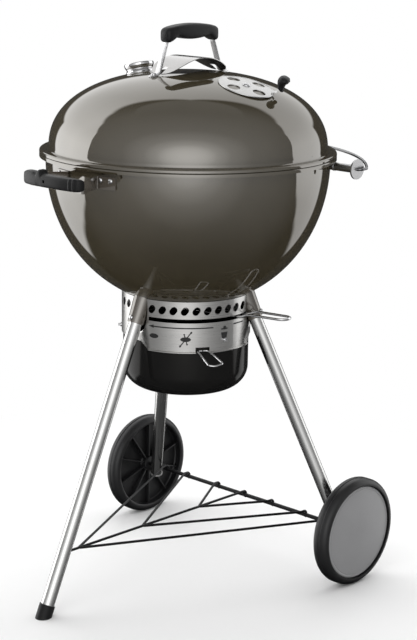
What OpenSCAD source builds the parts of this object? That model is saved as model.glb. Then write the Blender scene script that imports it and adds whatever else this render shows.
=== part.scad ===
// Kettle charcoal grill: an enamelled bowl and lid on a wheeled tripod, with a perforated
// ash skirt, a sweep that clears the bowl, and an ash pan below it.
// Every piece is drawn about the kettle's upright axis, then placed so that the origin lies
// on the floor under the middle of the whole grill. +X runs along the axle, -Y is the front.

/* [Bowl] */
// Outer radius of the bowl wall at the rim
bowl_r = 268; // [240:1:300]
// Depth of the bowl below its rim
bowl_depth = 282; // [250:1:300]
// Height of the bowl's rim above the floor
rim_z = 821; // [780:1:860]
// Roundness of the bowl's profile, where 2 is an ellipse
bowl_round = 2.07; // [2:0.01:2.3]
// Thickness of the enamelled steel of the bowl and lid
shell_t = 1.6; // [1.2:0.1:2.5]
// Width of the rolled flanges of the bowl and lid beyond the bowl's wall
flange_w = 11.5; // [8:0.5:20]
// Height of the bowl's flange above the rim
flange_h = 8; // [6:0.5:12]
// Length of the turned-down lip on the bowl's flange
lip_h = 6; // [4:0.5:9]

/* [Lid] */
// Step in from the bowl's wall to the lid's wall above its flange
lid_step = 5.7; // [4:0.1:9]
// Height of the lid's dome above its flange
lid_h = 144; // [120:1:200]
// Roundness of the lid's profile
lid_round = 2.28; // [2:0.01:2.6]
// Length of the wall that drops inside the bowl and centres the lid
lid_spigot = 9; // [6:1:20]
// Length of the turned-down lip on the lid
lid_lip_h = 4.3; // [3:0.1:7]
// Gap between the lid's lip and the bowl's flange
lid_seat_gap = 0.3; // [0.2:0.1:0.6]

/* [Lid handle] */
// Distance of each strap's foot from the lid's axis
strap_foot = 87; // [80:1:100]
// Distance of each strap's top from the lid's axis
strap_top = 69; // [60:1:76]
// Width of the handle straps
strap_w = 15; // [10:1:20]
// Thickness of the handle straps
strap_t = 3; // [2:0.5:4]
// Length of the nylon grip
grip_len = 152; // [130:1:165]
// Height of the top of the grip above the lid's crown
grip_rise = 87.7; // [80:0.1:100]
// Depth of the grip at its middle
grip_depth = 27; // [20:1:34]
// Width of the grip across the hand
grip_w = 32; // [24:1:40]
// Width of the heat shield under the grip
shield_w = 78; // [60:1:90]
// Height of the heat shield's crown above its feet
shield_rise = 29; // [15:1:36]
// Thickness of the heat shield
shield_t = 1.2; // [0.8:0.1:2]

/* [Lid damper and thermometer] */
// Distance of the damper's centre from the lid's axis
damper_x = 144; // [130:1:155]
// Radius of the damper disc
damper_r = 54; // [48:1:58]
// Thickness of the damper disc
damper_t = 1.4; // [1:0.1:2]
// Number of vent holes in the lid and in the disc
vents = 4; // [3:1:4]
// Radius of each vent hole
vent_r = 12; // [8:0.5:13]
// Distance of the vent holes from the damper's centre
vent_pitch_r = 33; // [30:1:35]
// Direction of the damper's thumb tab
tab_turn = 40; // [20:1:60]
// Distance of the thermometer's centre from the lid's axis
gauge_x = 131; // [125:1:140]
// Outer radius of the thermometer's bezel
gauge_r = 28.5; // [24:0.5:32]
// Height of the bezel above the lid
gauge_h = 19; // [14:0.5:22]

/* [Grates] */
// Drop of the cooking grate below the bowl's rim
grate_drop = 24; // [19:1:36]
// Gap between the cooking grate and the bowl's wall
grate_gap = 8; // [4:1:14]
// Diameter of the grate rings
ring_d = 6; // [5:0.5:8]
// Diameter of the grate bars
bar_d = 5; // [4:0.5:6]
// Distance between neighbouring bars of the cooking grate
bar_pitch = 18; // [15:1:24]
// Radius of the lift-out centre of the cooking grate
insert_r = 150; // [120:1:170]
// Drop of the charcoal grate below the bowl's rim
coal_drop = 135; // [101:1:151]
// Distance between neighbouring bars of the charcoal grate
coal_pitch = 26; // [22:1:34]
// Diameter of the charcoal grate's bars
coal_bar_d = 5.4; // [4:0.1:5.8]

/* [Sweep] */
// Reach of the sweep blades from the bowl's axis
blade_r = 100; // [85:1:112]
// Angle that each blade covers
blade_sweep = 30; // [20:1:36]
// Drop of the lever below the bowl's bottom where it passes through the skirt
lever_drop = 8; // [5:1:12]
// Reach of the lever beyond the skirt
lever_reach = 104; // [76:1:126]
// Diameter of the lever's wire
lever_d = 5; // [4:0.5:6]
// Half the width of the lever's loop
lever_half = 16; // [12:1:20]
// Direction in which the lever rests
lever_turn = 12; // [5:1:13]

/* [Ash skirt and pan] */
// Outer radius of the perforated skirt
skirt_r = 124; // [118:1:132]
// Thickness of the skirt's steel
skirt_t = 1.2; // [1:0.1:2]
// Drop of the skirt's lower edge below the bowl's bottom at the front
skirt_drop = 70; // [60:1:79]
// Rise of the skirt's lower edge away from the front
skirt_step = 16; // [8:1:22]
// Number of places for oval holes around the skirt
hole_count = 36; // [24:2:40]
// Height of the middle of the oval holes above the bowl's bottom
hole_rise = 11; // [7:1:14]
// Length of each oval hole
hole_len = 17; // [12:0.5:18]
// Width of each oval hole
hole_w = 12.5; // [8:0.5:13]
// Lean of the oval holes away from upright
hole_lean = 38; // [0:1:50]
// Gap between the skirt and the ash pan
pan_gap = 1.8; // [1:0.1:3]
// Depth of the ash pan
pan_deep = 122; // [100:1:140]
// Drop of the ash pan's top edge below the bowl's bottom
pan_drop = 39; // [35:1:49]
// Radius between the pan's bottom and its wall
pan_corner = 42; // [20:1:60]
// Thickness of the ash pan's steel
pan_t = 1.2; // [1:0.1:2]
// Direction of the wire handle on the pan
bail_turn = -31; // [-45:1:-20]

/* [Legs] */
// Outer diameter of the leg tubes
leg_d = 25.4; // [22:0.2:30]
// Wall of the leg tubes
leg_t = 1.4; // [1:0.1:2.5]
// Distance from the skirt's wall to the middles of the leg tubes at the sockets
leg_clear = 7.5; // [4:0.5:16]
// Drop of that level below the bowl's bottom
leg_drop = 10; // [0:1:19]
// Distance of the front foot from the bowl's axis
foot_y = 366.5; // [340:0.5:400]
// Length of each leg socket
socket_len = 52; // [40:1:60]
// Wall of the leg sockets
socket_t = 2.6; // [2:0.1:4]
// Gap between a leg tube and its socket, plug or cap
leg_gap = 0.1; // [0.05:0.05:0.5]

/* [Wheels and axle] */
// Radius of the wheels
wheel_r = 105.8; // [95:0.1:115]
// Width of the wheels
wheel_w = 34; // [28:1:42]
// Distance of each wheel's middle from the middle of the axle
wheel_x = 288; // [285:1:310]
// Distance of the axle behind the bowl's axis
axle_y = 177; // [150:1:200]
// Radius of the axle
axle_r = 4; // [3.5:0.5:6]
// Radial running clearance of the turning parts
run_gap = 0.06; // [0.03:0.01:0.1]
// Number of ribs inside each wheel
wheel_ribs = 10; // [6:1:14]
// Radius of the hubcaps
cap_r = 91; // [80:1:94]
// Distance from the middle of the axle to each rear leg's lower end
leg_foot_x = 255; // [245:1:256]
// Diameter of the rack's wire
rack_d = 5; // [4:0.5:6]

/* [Bowl handle] */
// Length of the nylon grip on the bowl
side_len = 150; // [120:1:170]
// Distance from the bowl's wall to the grip's middle
side_reach = 74; // [62:1:82]
// Drop of the grip's middle below the bowl's rim
side_drop = 12.5; // [9:0.5:17]
// Height of the grip
side_h = 23; // [18:1:25]
// Thickness of the grip
side_t = 22; // [16:1:26]
// Thickness of the handle's steel bracket
bracket_t = 2.5; // [2:0.5:4]
// Height of the handle's steel bracket
bracket_h = 22; // [16:1:22]

/* [Lid holder] */
// Radius of the lid holder's hoop beyond the bowl's wall
hoop_reach = 94; // [87:1:102]
// Angle at which the hoop's wire turns in to its hinge
hoop_turn = 37; // [35:1:40]
// Radius of the bend at each end of the hoop
elbow = 6; // [5:0.5:9]
// Straight length of wire behind each end's bend
hoop_straight = 10; // [6:1:16]
// Upward tilt of the hoop at rest
hoop_tilt = 3; // [0:1:8]
// Diameter of the hoop's wire
hoop_d = 5.5; // [5:0.5:7]
// Distance of the hoop's hinge line behind the bowl's axis
hinge_y = 155; // [145:1:165]
// Drop of the hoop's hinge line below the bowl's rim
hinge_drop = 7; // [6:1:11]
// Outer diameter of the hinge tubes
tube_d = 15; // [12:0.5:16]
// Diameter of each tube's end disc
disc_d = 37; // [30:1:40]

/* [Hidden] */
$fn = 72;

// How finely the dome profiles are stepped
steps = 20;
// Gap at which rigid neighbours and moving neighbours stand apart
seat = 0.3;
// Small extra length of a cutter, so that it passes through a surface
thru = 1;
// Height of the fold between the lid's flange and its wall
lid_fold = 1.5;
bowl_z = rim_z - bowl_depth;
bowl_in_r = bowl_r - shell_t;
flange_r = bowl_r + flange_w;
lid_r = bowl_r - lid_step;
grate_z = rim_z - grate_drop;
coal_z = rim_z - coal_drop;
lever_z = bowl_z - lever_drop;
lever_r = skirt_r + lever_reach;
skirt_z = bowl_z - skirt_drop;
hole_z = bowl_z + hole_rise;
pan_top_z = bowl_z - pan_drop;
pan_z = pan_top_z - pan_deep;
leg_top_r = skirt_r + leg_clear;
leg_top_z = bowl_z - leg_drop;
side_y = bowl_r + side_reach;
side_z = rim_z - side_drop;
hoop_r = bowl_r + hoop_reach;
hinge_z = rim_z - hinge_drop;
bowl_in_depth = bowl_depth - shell_t;
flange_z = rim_z + flange_h + shell_t;
lid_flange_z = flange_z + lid_seat_gap + lid_lip_h + shell_t;
lid_base_z = lid_flange_z + lid_fold;
grip_top_z = lid_base_z + lid_h + grip_rise;
lid_in_r = lid_r - shell_t;
lid_in_h = lid_h - shell_t;
leg_dirs = [-90, 30, 150];
leg_slope = (foot_y - leg_top_r) / leg_top_z;
cap_wall = 2;
foot_front = foot_y + (leg_d / 2 + leg_gap + cap_wall) * sqrt(1 + pow(leg_slope, 2));
hoop_pin_x = (hoop_r - elbow) * cos(hoop_turn);
hoop_mid = elbow + hoop_straight - (hoop_r - elbow) * sin(hoop_turn);
hoop_back = hinge_y + (hoop_mid + hoop_r) * cos(hoop_tilt) + hoop_d / 2;
kettle_y = (foot_front - hoop_back) / 2;
axle_z = wheel_r;
pan_r = skirt_r - skirt_t - pan_gap;
socket_r = leg_d / 2 + leg_gap + socket_t;
rack_z = axle_z + axle_r + seat + rack_d / 2;
grate_r = bowl_in_at(grate_z) - grate_gap - ring_d / 2;

// ---- profile functions ----
function dome(r, h, n, z0) = [for (i = [0:steps]) let (a = 90 * i / steps)
    [r * pow(cos(a), 2 / n), z0 + h * pow(sin(a), 2 / n)]];
function dome_z(x, r, h, n, z0) = z0 + h * pow(1 - pow(x / r, n), 1 / n);
function rev(v) = [for (i = [len(v) - 1:-1:0]) v[i]];
function arc(c, r, a0, a1, n = 6) = [for (i = [0:n]) let (a = a0 + (a1 - a0) * i / n)
    c + r * [cos(a), sin(a)]];
function bowl_out_z(x) = dome_z(x, bowl_r, -bowl_depth, bowl_round, rim_z);
function bowl_in_z(x) = dome_z(x, bowl_in_r, -bowl_in_depth, bowl_round, rim_z);
function bowl_in_at(z) = bowl_in_r
    * pow(1 - pow((rim_z - z) / bowl_in_depth, bowl_round), 1 / bowl_round);
function lid_z(x) = dome_z(x, lid_r, lid_h, lid_round, lid_base_z);
function lid_tilt(x) = atan((lid_z(x - 1) - lid_z(x + 1)) / 2);
function unit(v) = v / norm(v);

// A strip of constant thickness along a path in a plane, as one closed outline
function side_dir(p, i) = let (a = i > 0 ? unit(p[i] - p[i - 1]) : unit(p[1] - p[0]),
    b = i < len(p) - 1 ? unit(p[i + 1] - p[i]) : a, t = unit(a + b))
    [-t.y, t.x] / max(0.3, a * t);
function strip(p, t) = concat(
    [for (i = [0:len(p) - 1]) p[i] + side_dir(p, i) * t / 2],
    [for (i = [len(p) - 1:-1:0]) p[i] - side_dir(p, i) * t / 2]);

// A path with each inner corner rounded by a short curve
function rounded(p, r, n = 4) = concat([p[0]],
    [for (i = [1:len(p) - 2]) let (a = p[i] + r * unit(p[i - 1] - p[i]),
        b = p[i] + r * unit(p[i + 1] - p[i]))
        for (k = [0:n]) let (t = k / n)
            a * pow(1 - t, 2) + p[i] * 2 * t * (1 - t) + b * t * t],
    [p[len(p) - 1]]);

// ---- shared shapes ----
module placed() { translate([0, kettle_y, 0]) children(); }

// A solid skinned over a list of equal rings, with flat ends
module loft(rings) {
    m = len(rings[0]);
    last = (len(rings) - 1) * m;
    polyhedron([for (r = rings) each r], concat(
        [[for (j = [0:m - 1]) j]],
        [for (i = [0:len(rings) - 2], j = [0:m - 1]) [i * m + j, i * m + m + j, i * m + (j + 1) % m]],
        [for (i = [0:len(rings) - 2], j = [0:m - 1])
            [i * m + m + j, i * m + m + (j + 1) % m, i * m + (j + 1) % m]],
        [[for (j = [m - 1:-1:0]) last + j]]));
}

// A round wire along a path; up is a direction that the path never follows
module wire(p, d, up = [0, 0, 1], m = 10) {
    loft([for (i = [0:len(p) - 1])
        let (a = i > 0 ? unit(p[i] - p[i - 1]) : unit(p[1] - p[0]),
            b = i < len(p) - 1 ? unit(p[i + 1] - p[i]) : a, t = unit(a + b),
            s = unit(cross(t, up)), u = cross(t, s))
        [for (j = [0:m - 1]) p[i] + d / 2 * (cos(360 * j / m) * s + sin(360 * j / m) * u)]]);
}

// Draws its children with their z axis running from p to q
module along(p, q) {
    v = q - p;
    translate(p) rotate([0, acos(v.z / norm(v)), atan2(v.y, v.x)]) children();
}

// Draws its children on the lid's surface, with z along the surface's normal
module on_lid(turn, x) {
    rotate([0, 0, turn]) translate([x, 0, lid_z(x)]) rotate([0, lid_tilt(x), 0]) children();
}

// ---- leg geometry ----
function leg_top(i) = leg_top_r * [cos(leg_dirs[i]), sin(leg_dirs[i]), 0] + [0, 0, leg_top_z];
function leg_foot(i) = i == 0 ? [0, -foot_y, 0]
    : [i == 1 ? leg_foot_x : -leg_foot_x, axle_y, axle_z];
function leg_way(i) = unit(leg_foot(i) - leg_top(i));
socket_low = 10;
socket_flare = 3;
function socket_from(i) = leg_top(i) + leg_way(i) * socket_low;
function socket_to(i) = leg_top(i) - leg_way(i) * (socket_len - socket_low);

// ---- bowl ----
module bowl_profile() {
    corner = shell_t + 3.4;
    polygon(concat(
        rev(dome(bowl_r, -bowl_depth, bowl_round, rim_z)),
        arc([bowl_r + 5, flange_z - shell_t - 5], 5, 180, 90),
        [[flange_r - shell_t, flange_z - shell_t], [flange_r - shell_t, flange_z - shell_t - lip_h],
            [flange_r, flange_z - shell_t - lip_h]],
        arc([flange_r - 2, flange_z - 2], 2, 0, 90, 4),
        arc([bowl_in_r + corner + 1.6, flange_z - corner - 1.6], corner + 1.6, 90, 180),
        dome(bowl_in_r, -bowl_in_depth, bowl_round, rim_z)));
}

module bowl_solid() {
    rotate_extrude() polygon(concat(rev(dome(bowl_r, -bowl_depth, bowl_round, rim_z)),
        [[0, rim_z]]));
}

vent_in = 34;
vent_out = 90;
vent_fan = 16;
module bowl() placed() color("dimgray") difference() {
    rotate_extrude() bowl_profile();
    translate([0, 0, bowl_z - thru])
        cylinder(r = shaft_r + run_gap, h = 6 * thru);
    // three fans of slots that the blades sweep
    for (k = [0:2], j = [-1:1]) rotate([0, 0, 120 * k + 60 + j * vent_fan])
        translate([0, 0, bowl_z - thru]) {
            translate([vent_in, -3.5, 0]) cube([vent_out - vent_in, 7, 40]);
            translate([vent_in, 0, 0]) cylinder(r = 3.5, h = 40);
            translate([vent_out, 0, 0]) cylinder(r = 3.5, h = 40);
        }
}

bracket_depth = 18;
bracket_w = 22;
module grate_brackets() placed() color("silver") for (k = [0:3]) rotate([0, 0, 90 * k]) {
    ring_bottom = grate_z - ring_d / 2 - seat;
    wall = bowl_in_at(ring_bottom - bracket_depth) - 2 * seat;
    translate([0, bracket_w / 2, 0]) rotate([90, 0, 0]) linear_extrude(bracket_w)
        polygon(strip(rounded([[grate_r - 8, ring_bottom - 1], [wall - 1, ring_bottom - 1],
            [wall - 1, ring_bottom - bracket_depth]], 4), 2));
}

// ---- bowl handle ----
tab_near = 37;
tab_far = 76;
bar_half = 70;
bracket_drop = 4.5;
bar_y = side_y - side_t / 2 - 1.5;
module bowl_handle_bracket() placed() color("dimgray") {
    wall = bowl_r + 2 * seat + bracket_t / 2;
    tab = [for (i = [0:4]) let (x = tab_far + (tab_near - tab_far) * i / 4) [x, -sqrt(wall * wall - x * x)]];
    half = concat(tab, [[bar_half, -bar_y]]);
    path = concat(half, rev([for (p = half) [-p.x, p.y]]));
    translate([0, 0, side_z - bracket_drop - bracket_h / 2]) linear_extrude(bracket_h)
        polygon(strip(rounded(path, 3.5), bracket_t));
}

// One ring of a grip: a rounded box section with its own width, height and place
function grip_ring(at, w, lo, hi, k = 16) = [for (j = [0:k - 1]) let (a = 360 * j / k + 180 / k,
    c = cos(a), s = sin(a))
    [at, sign(c) * pow(abs(c), 0.55) * w / 2, (hi + lo) / 2 + sign(s) * pow(abs(s), 0.55) * (hi - lo) / 2]];
function grip_end(t) = pow(max(0, 1 - pow(abs(t), 9)), 0.5);

side_bow = 9;
side_stations = 22;
module bowl_handle_grip() placed() color([0.1, 0.1, 0.11]) {
    front = -bar_y - bracket_t / 2 - seat;
    rings = [for (i = [0:side_stations]) let (t = -1 + 2 * i / side_stations, e = 0.3 + 0.7 * grip_end(t),
        hook = 5 * exp(-pow((t + 0.62) / 0.16, 2)), h = side_h * e,
        out = side_t * e - side_bow * pow(abs(t), 2.5))
        [for (p = grip_ring(t * side_len / 2, 1, -h / 2, h / 2 + hook)) [p.x,
            front - out / 2 + p.y * out, side_z + p.z]]];
    loft(rings);
}

rivet_x = [46, 67];
module bowl_handle_rivets() placed() color("silver") for (s = [-1, 1], x = rivet_x) {
    wall = bowl_r + 2.5 * seat + bracket_t;
    rotate([0, 0, s * asin(x / wall)]) translate([0, -wall, side_z]) rotate([90, 0, 0])
        rotate_extrude() polygon([[0, 0], [4.5, 0], [4, 1.4], [2.4, 2.4], [0, 2.8]]);
}

// ---- lid holder ----
disc_t = 3.5;
pin_len = 34;
bead = 0.2;
module lid_holder_tubes() placed() color("silver") for (s = [0, 1]) mirror([s, 0, 0])
    difference() {
        translate([0, hinge_y, hinge_z]) rotate([0, 90, 0]) {
            cylinder(d = tube_d, h = tube_x);
            translate([0, 0, tube_x]) cylinder(d = disc_d, h = disc_t);
            translate([0, 0, boss_x]) cylinder(d = tube_d + 2, h = 3);
        }
        cylinder(r = bowl_r + seat, h = flange_z * 2);
        translate([tube_x - pin_len, hinge_y, hinge_z]) rotate([0, 90, 0])
            cylinder(r = hoop_d / 2 + run_gap, h = pin_len + disc_t + thru);
    }
boss_x = sqrt(pow(bowl_r, 2) - pow(hinge_y, 2)) + 10;
tube_x = hoop_pin_x - disc_t - seat;

// A wide arc with a bend and a pin at each end, joined by a small bead of weld
module lid_hoop() placed() color("gray") translate([0, hinge_y, hinge_z]) rotate([hoop_tilt, 0, 0]) {
    translate([0, hoop_mid, 0]) rotate([0, 0, hoop_turn])
        rotate_extrude(angle = 180 - 2 * hoop_turn) translate([hoop_r, 0]) circle(d = hoop_d);
    for (s = [0, 1]) mirror([s, 0, 0]) translate([hoop_pin_x, 0, 0]) {
        rotate([0, -90, 0]) cylinder(d = hoop_d, h = hoop_pin_x - tube_x + pin_len - 6);
        translate([0, elbow, 0]) rotate([0, 0, -90])
            rotate_extrude(angle = 90) translate([elbow, 0]) circle(d = hoop_d);
        translate([elbow, elbow, 0]) rotate([-90, 0, 0]) cylinder(d = hoop_d, h = hoop_straight);
        translate([0, elbow + hoop_straight, 0]) {
            rotate_extrude(angle = hoop_turn) translate([elbow, 0]) circle(d = hoop_d);
            rotate([0, 0, hoop_turn]) translate([elbow, 0, 0]) sphere(r = hoop_d / 2 + bead);
        }
    }
}

// ---- ash skirt ----
skirt_top = bowl_out_z(skirt_r - skirt_t) - seat;
slot_h = 7.5;
slot_from = -80;
slot_to = 21;
low_from = -80;
low_to = 24;
ramp = 8;
notch_w = 27;
lip_w = 3.4;
notch_low = 60;
module wedge(r, z0, z1, a0, a1) {
    translate([0, 0, z0]) rotate([0, 0, a0])
        rotate_extrude(angle = a1 - a0) translate([r - 8, 0]) square([16, z1 - z0]);
}

module skirt_hole() {
    rotate([90, 0, 90]) translate([0, 0, skirt_r - 12]) linear_extrude(24) rotate(-hole_lean) {
        for (s = [-1, 1]) translate([0, s * (hole_len - hole_w) / 2]) circle(d = hole_w);
        square([hole_w, hole_len - hole_w], center = true);
    }
}

module ash_skirt() placed() color("silver") difference() {
    union() {
        difference() {
            translate([0, 0, skirt_z]) cylinder(r = skirt_r, h = skirt_top - skirt_z);
            translate([0, 0, skirt_z - thru])
                cylinder(r = skirt_r - skirt_t, h = skirt_top - skirt_z + 2 * thru);
        }
        // rolled lip along the low front edge
        rotate([0, 0, low_from]) rotate_extrude(angle = low_to - low_from)
            translate([skirt_r - skirt_t, skirt_z])
                polygon([[0.4, 0.3], [lip_w - 0.8, 0.3], [lip_w, 1.1], [lip_w, 2.9],
                    [lip_w - 0.8, 3.7], [0.4, 3.7]]);
    }
    // the raised edge around the sides and back, with a slanted corner at each end
    wedge(skirt_r, skirt_z - thru, skirt_z + skirt_step, low_to + ramp, low_from - ramp + 360);
    for (s = [[low_from, 1], [low_to, -1]]) rotate([0, 0, s[0]]) mirror([0, s[1] > 0 ? 1 : 0, 0])
        rotate([90, 0, 90]) linear_extrude(skirt_r + 9)
            polygon([[0, skirt_z - thru], [skirt_r * sin(ramp) + 0.6, skirt_z - thru],
                [skirt_r * sin(ramp) + 0.6, skirt_z + skirt_step - 0.5], [0, skirt_z + 2 * thru]]);
    wedge(skirt_r, lever_z - slot_h / 2, lever_z + slot_h / 2, slot_from, slot_to);
    for (k = [0:hole_count - 1]) let (a = k * 360 / hole_count + 3.2)
        if (min([for (d = leg_dirs) abs((a - d + 540) % 360 - 180)]) > 11)
            rotate([0, 0, a]) translate([0, 0, hole_z]) skirt_hole();
    for (i = [0:2]) along(leg_top(i) + leg_way(i) * notch_low, socket_to(i))
        cylinder(r = socket_r + socket_flare + seat, h = notch_low + socket_len);
    for (a = catch_dirs) rotate([0, 0, a]) translate([0, 0, catch_z]) rotate([0, 90, 0])
        cylinder(r = catch_r + 0.05, h = skirt_r + 5);
    rotate([0, 0, bail_turn]) translate([skirt_r - 10, -notch_w / 2, skirt_z - thru])
        cube([20, notch_w, 13]);
}

catch_dirs = [-140, -10, 100];
catch_r = 2.4;
catch_z = skirt_z + skirt_step + 7;
module skirt_catches() placed() color("silver") for (a = catch_dirs) rotate([0, 0, a])
    translate([pan_r + seat, 0, catch_z]) rotate([0, 90, 0]) {
        cylinder(r = catch_r, h = skirt_r + 7 - pan_r);
        translate([0, 0, skirt_r - pan_r]) cylinder(r = 4.2, h = 2.4);
    }

// ---- legs ----
module leg_sockets() placed() color("dimgray") for (i = [0:2]) difference() {
    along(socket_from(i), socket_to(i)) cylinder(r1 = socket_r, r2 = socket_r + socket_flare, h = socket_len);
    along(socket_from(i) + leg_way(i) * thru, socket_to(i))
        cylinder(r = leg_d / 2 + leg_gap, h = socket_len - 8);
    bowl_solid();
}

screw_up = 8;
screw_off = socket_r + socket_flare * (screw_up + 5) / socket_len + 0.02;
module socket_screws() placed() color("silver") for (i = [0:2]) {
    at = socket_from(i) - leg_way(i) * screw_up;
    out = unit(cross(cross(leg_way(i), [at.x, at.y, 0]), leg_way(i)));
    along(at + out * screw_off, at + out * (screw_off + 9))
        rotate_extrude() polygon([[0, 0], [4.6, 0], [4.4, 1.2], [3, 2.6], [0, 3.1]]);
}

// A leg tube from a point to a point, open at both ends
module leg_tube(p, q) {
    along(p, q) difference() {
        cylinder(d = leg_d, h = norm(q - p));
        translate([0, 0, -thru]) cylinder(d = leg_d - 2 * leg_t, h = norm(q - p) + 2 * thru);
    }
}

leg_in = 24;
foot_lift = 4;
module front_leg() placed() color("lightgray") intersection() {
    leg_tube(leg_top(0) - leg_way(0) * leg_in, leg_foot(0));
    translate([-50, -foot_y - 50, foot_lift]) cube([100, foot_y, leg_top_z + 100]);
}

leg_past = 17;
module rear_leg(i) {
    difference() {
        leg_tube(leg_top(i) - leg_way(i) * leg_in, leg_foot(i) + leg_way(i) * leg_past);
        translate([-wheel_x, axle_y, axle_z]) rotate([0, 90, 0])
            cylinder(r = axle_r + leg_gap, h = 2 * wheel_x);
    }
}
module left_leg() placed() color("lightgray") rear_leg(2);
module right_leg() placed() color("lightgray") rear_leg(1);

cap_len = 24;
module foot_cap() placed() color([0.08, 0.08, 0.08]) difference() {
    intersection() {
        along(leg_foot(0) - leg_way(0) * cap_len, leg_foot(0) + leg_way(0) * 20)
            cylinder(r = leg_d / 2 + leg_gap + cap_wall, h = cap_len + 20);
        translate([-50, -foot_y - 50, 0]) cube([100, 100, 60]);
    }
    intersection() {
        along(leg_foot(0) - leg_way(0) * (cap_len + thru), leg_foot(0))
            cylinder(r = leg_d / 2 + leg_gap, h = cap_len + 10);
        translate([-50, -foot_y - 50, foot_lift - seat]) cube([100, 100, 60]);
    }
}

module leg_plugs() placed() color([0.08, 0.08, 0.08]) for (i = [1, 2])
    along(leg_foot(i) + leg_way(i) * (leg_past + seat), leg_foot(i)) {
        translate([0, 0, -3]) cylinder(d = leg_d + 1.6, h = 3);
        cylinder(d = leg_d - 2 * leg_t - 2 * leg_gap, h = leg_past - axle_r - 5);
    }

// ---- axle, wheels and rack ----
axle_end = wheel_x + wheel_w / 2 - 6;
module axle() placed() color([0.12, 0.12, 0.12]) translate([-axle_end, axle_y, axle_z])
    rotate([0, 90, 0]) cylinder(r = axle_r, h = 2 * axle_end);

nut_r = 8;
nut_h = 5;
module axle_nuts() placed() color("silver") for (s = [-1, 1])
    translate([s * (axle_end - nut_h * 0.6), axle_y, axle_z]) rotate([0, 90, 0]) difference() {
        cylinder(r = nut_r, h = nut_h, center = true, $fn = 6);
        cylinder(r = axle_r, h = nut_h + 2 * thru, center = true);
    }

// Half a wheel's section: tread, dished rim, web and hub, with the outer face at x = w
hub_r = 15;
hub_face = 10;
module wheel(s) {
    w = wheel_w / 2;
    rim_in = cap_r + 2;
    translate([s * wheel_x, axle_y, axle_z]) rotate([0, 90 * s, 0]) {
        rotate_extrude() polygon(concat(
            [[axle_r + run_gap, -w + 4], [hub_r, -w + 4], [hub_r, 0], [rim_in - 3, 0], [rim_in - 3, -w + 4],
                [rim_in, -w]],
            arc([wheel_r - 12, -w + 12], 12, -90, -35, 5),
            [[wheel_r, -w + 13], [wheel_r, -3], [wheel_r - 1.2, -2], [wheel_r - 1.2, 2],
                [wheel_r, 3], [wheel_r, w - 13]],
            arc([wheel_r - 12, w - 12], 12, 35, 90, 5),
            [[rim_in, w], [rim_in, w - 5], [rim_in - 4, w - 5], [rim_in - 4, 4], [hub_r, 4],
                [hub_r, hub_face - 6], [axle_r + run_gap, hub_face - 6]]));
        for (k = [0:wheel_ribs - 1]) rotate([0, 0, 360 * k / wheel_ribs])
            translate([hub_r - 1, -1.6, -w + 7]) cube([rim_in - hub_r - 1, 3.2, w - 6]);
    }
}
module left_wheel() placed() color([0.1, 0.1, 0.1]) wheel(-1);
module right_wheel() placed() color([0.1, 0.1, 0.1]) wheel(1);

cap_dome = 7;
module hubcap(s) {
    w = wheel_w / 2;
    sphere_r = (pow(cap_r, 2) + pow(cap_dome, 2)) / (2 * cap_dome);
    half = asin(cap_r / sphere_r);
    translate([s * wheel_x, axle_y, axle_z]) rotate([0, 90 * s, 0]) rotate_extrude()
        polygon(concat(arc([0, w + cap_dome - sphere_r - 3], sphere_r, 90 - half, 90, 10),
            [[0, w + cap_dome - 6]],
            rev(arc([0, w + cap_dome - sphere_r - 6], sphere_r, 90 - half + 2, 90, 8)),
            [[cap_r - 4, w - 5 + seat], [cap_r, w - 5 + seat]]));
}
module left_hubcap() placed() color([0.55, 0.55, 0.55]) hubcap(-1);
module right_hubcap() placed() color([0.55, 0.55, 0.55]) hubcap(1);

rack_apex = [-280, -114, 43];
rack_half = [226, 163, 75];
function hook(x) = [for (a = [90:-30:-60])
    [x, axle_y, axle_z] + (axle_r + seat + rack_d / 2) * [0, cos(a), sin(a)]];
module bottom_rack() placed() color([0.1, 0.1, 0.1]) {
    leg_face = -(leg_top_r + (leg_top_z - rack_z) * leg_slope) + leg_d / 2 * sqrt(1 + pow(leg_slope, 2))
        + rack_d / 2 * leg_slope + seat;
    wire([[0, leg_face, rack_z], [0, axle_y - 6, rack_z], each hook(0)], rack_d, [1, 0, 0]);
    for (k = [0:2], s = [-1, 1])
        wire(concat([[0, rack_apex[k], rack_z], [s * rack_half[k], axle_y - 8, rack_z]],
            hook(s * rack_half[k])), rack_d, [1, 0, 0.01]);
}

// ---- lid ----
module lid_profile() {
    top = lid_flange_z;
    low = flange_z + lid_seat_gap;
    polygon(concat(
        rev(dome(lid_r, lid_h, lid_round, lid_base_z)),
        [[lid_r + 1.2, top], [flange_r - 3, top]],
        arc([flange_r - 3, top - 3], 3, 90, 0, 4),
        [[flange_r, low], [flange_r - shell_t, low]],
        arc([flange_r - 3, top - 3], 3 - shell_t, 0, 90, 3),
        [[lid_r + 1.9, top - shell_t], [lid_r + 1.9, low - lid_spigot],
            [lid_r + 1.9 - shell_t, low - lid_spigot], [lid_r + 1.9 - shell_t, top]],
        dome(lid_in_r, lid_in_h, lid_round, lid_base_z)));
}

module lid() placed() color("dimgray") difference() {
    rotate_extrude() lid_profile();
    on_lid(0, damper_x) {
        for (k = [0:vents - 1]) rotate([0, 0, 360 * k / vents]) translate([vent_pitch_r, 0, -20])
            cylinder(r = vent_r, h = 40);
        translate([0, 0, -20]) cylinder(r = rivet_r, h = 40);
    }
    on_lid(180, gauge_x) translate([0, 0, -20]) cylinder(r = probe_r, h = 40);
    for (a = [90, 270]) on_lid(a, bolt_at) translate([0, 0, -20]) cylinder(r = bolt_r, h = 40);
}

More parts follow.
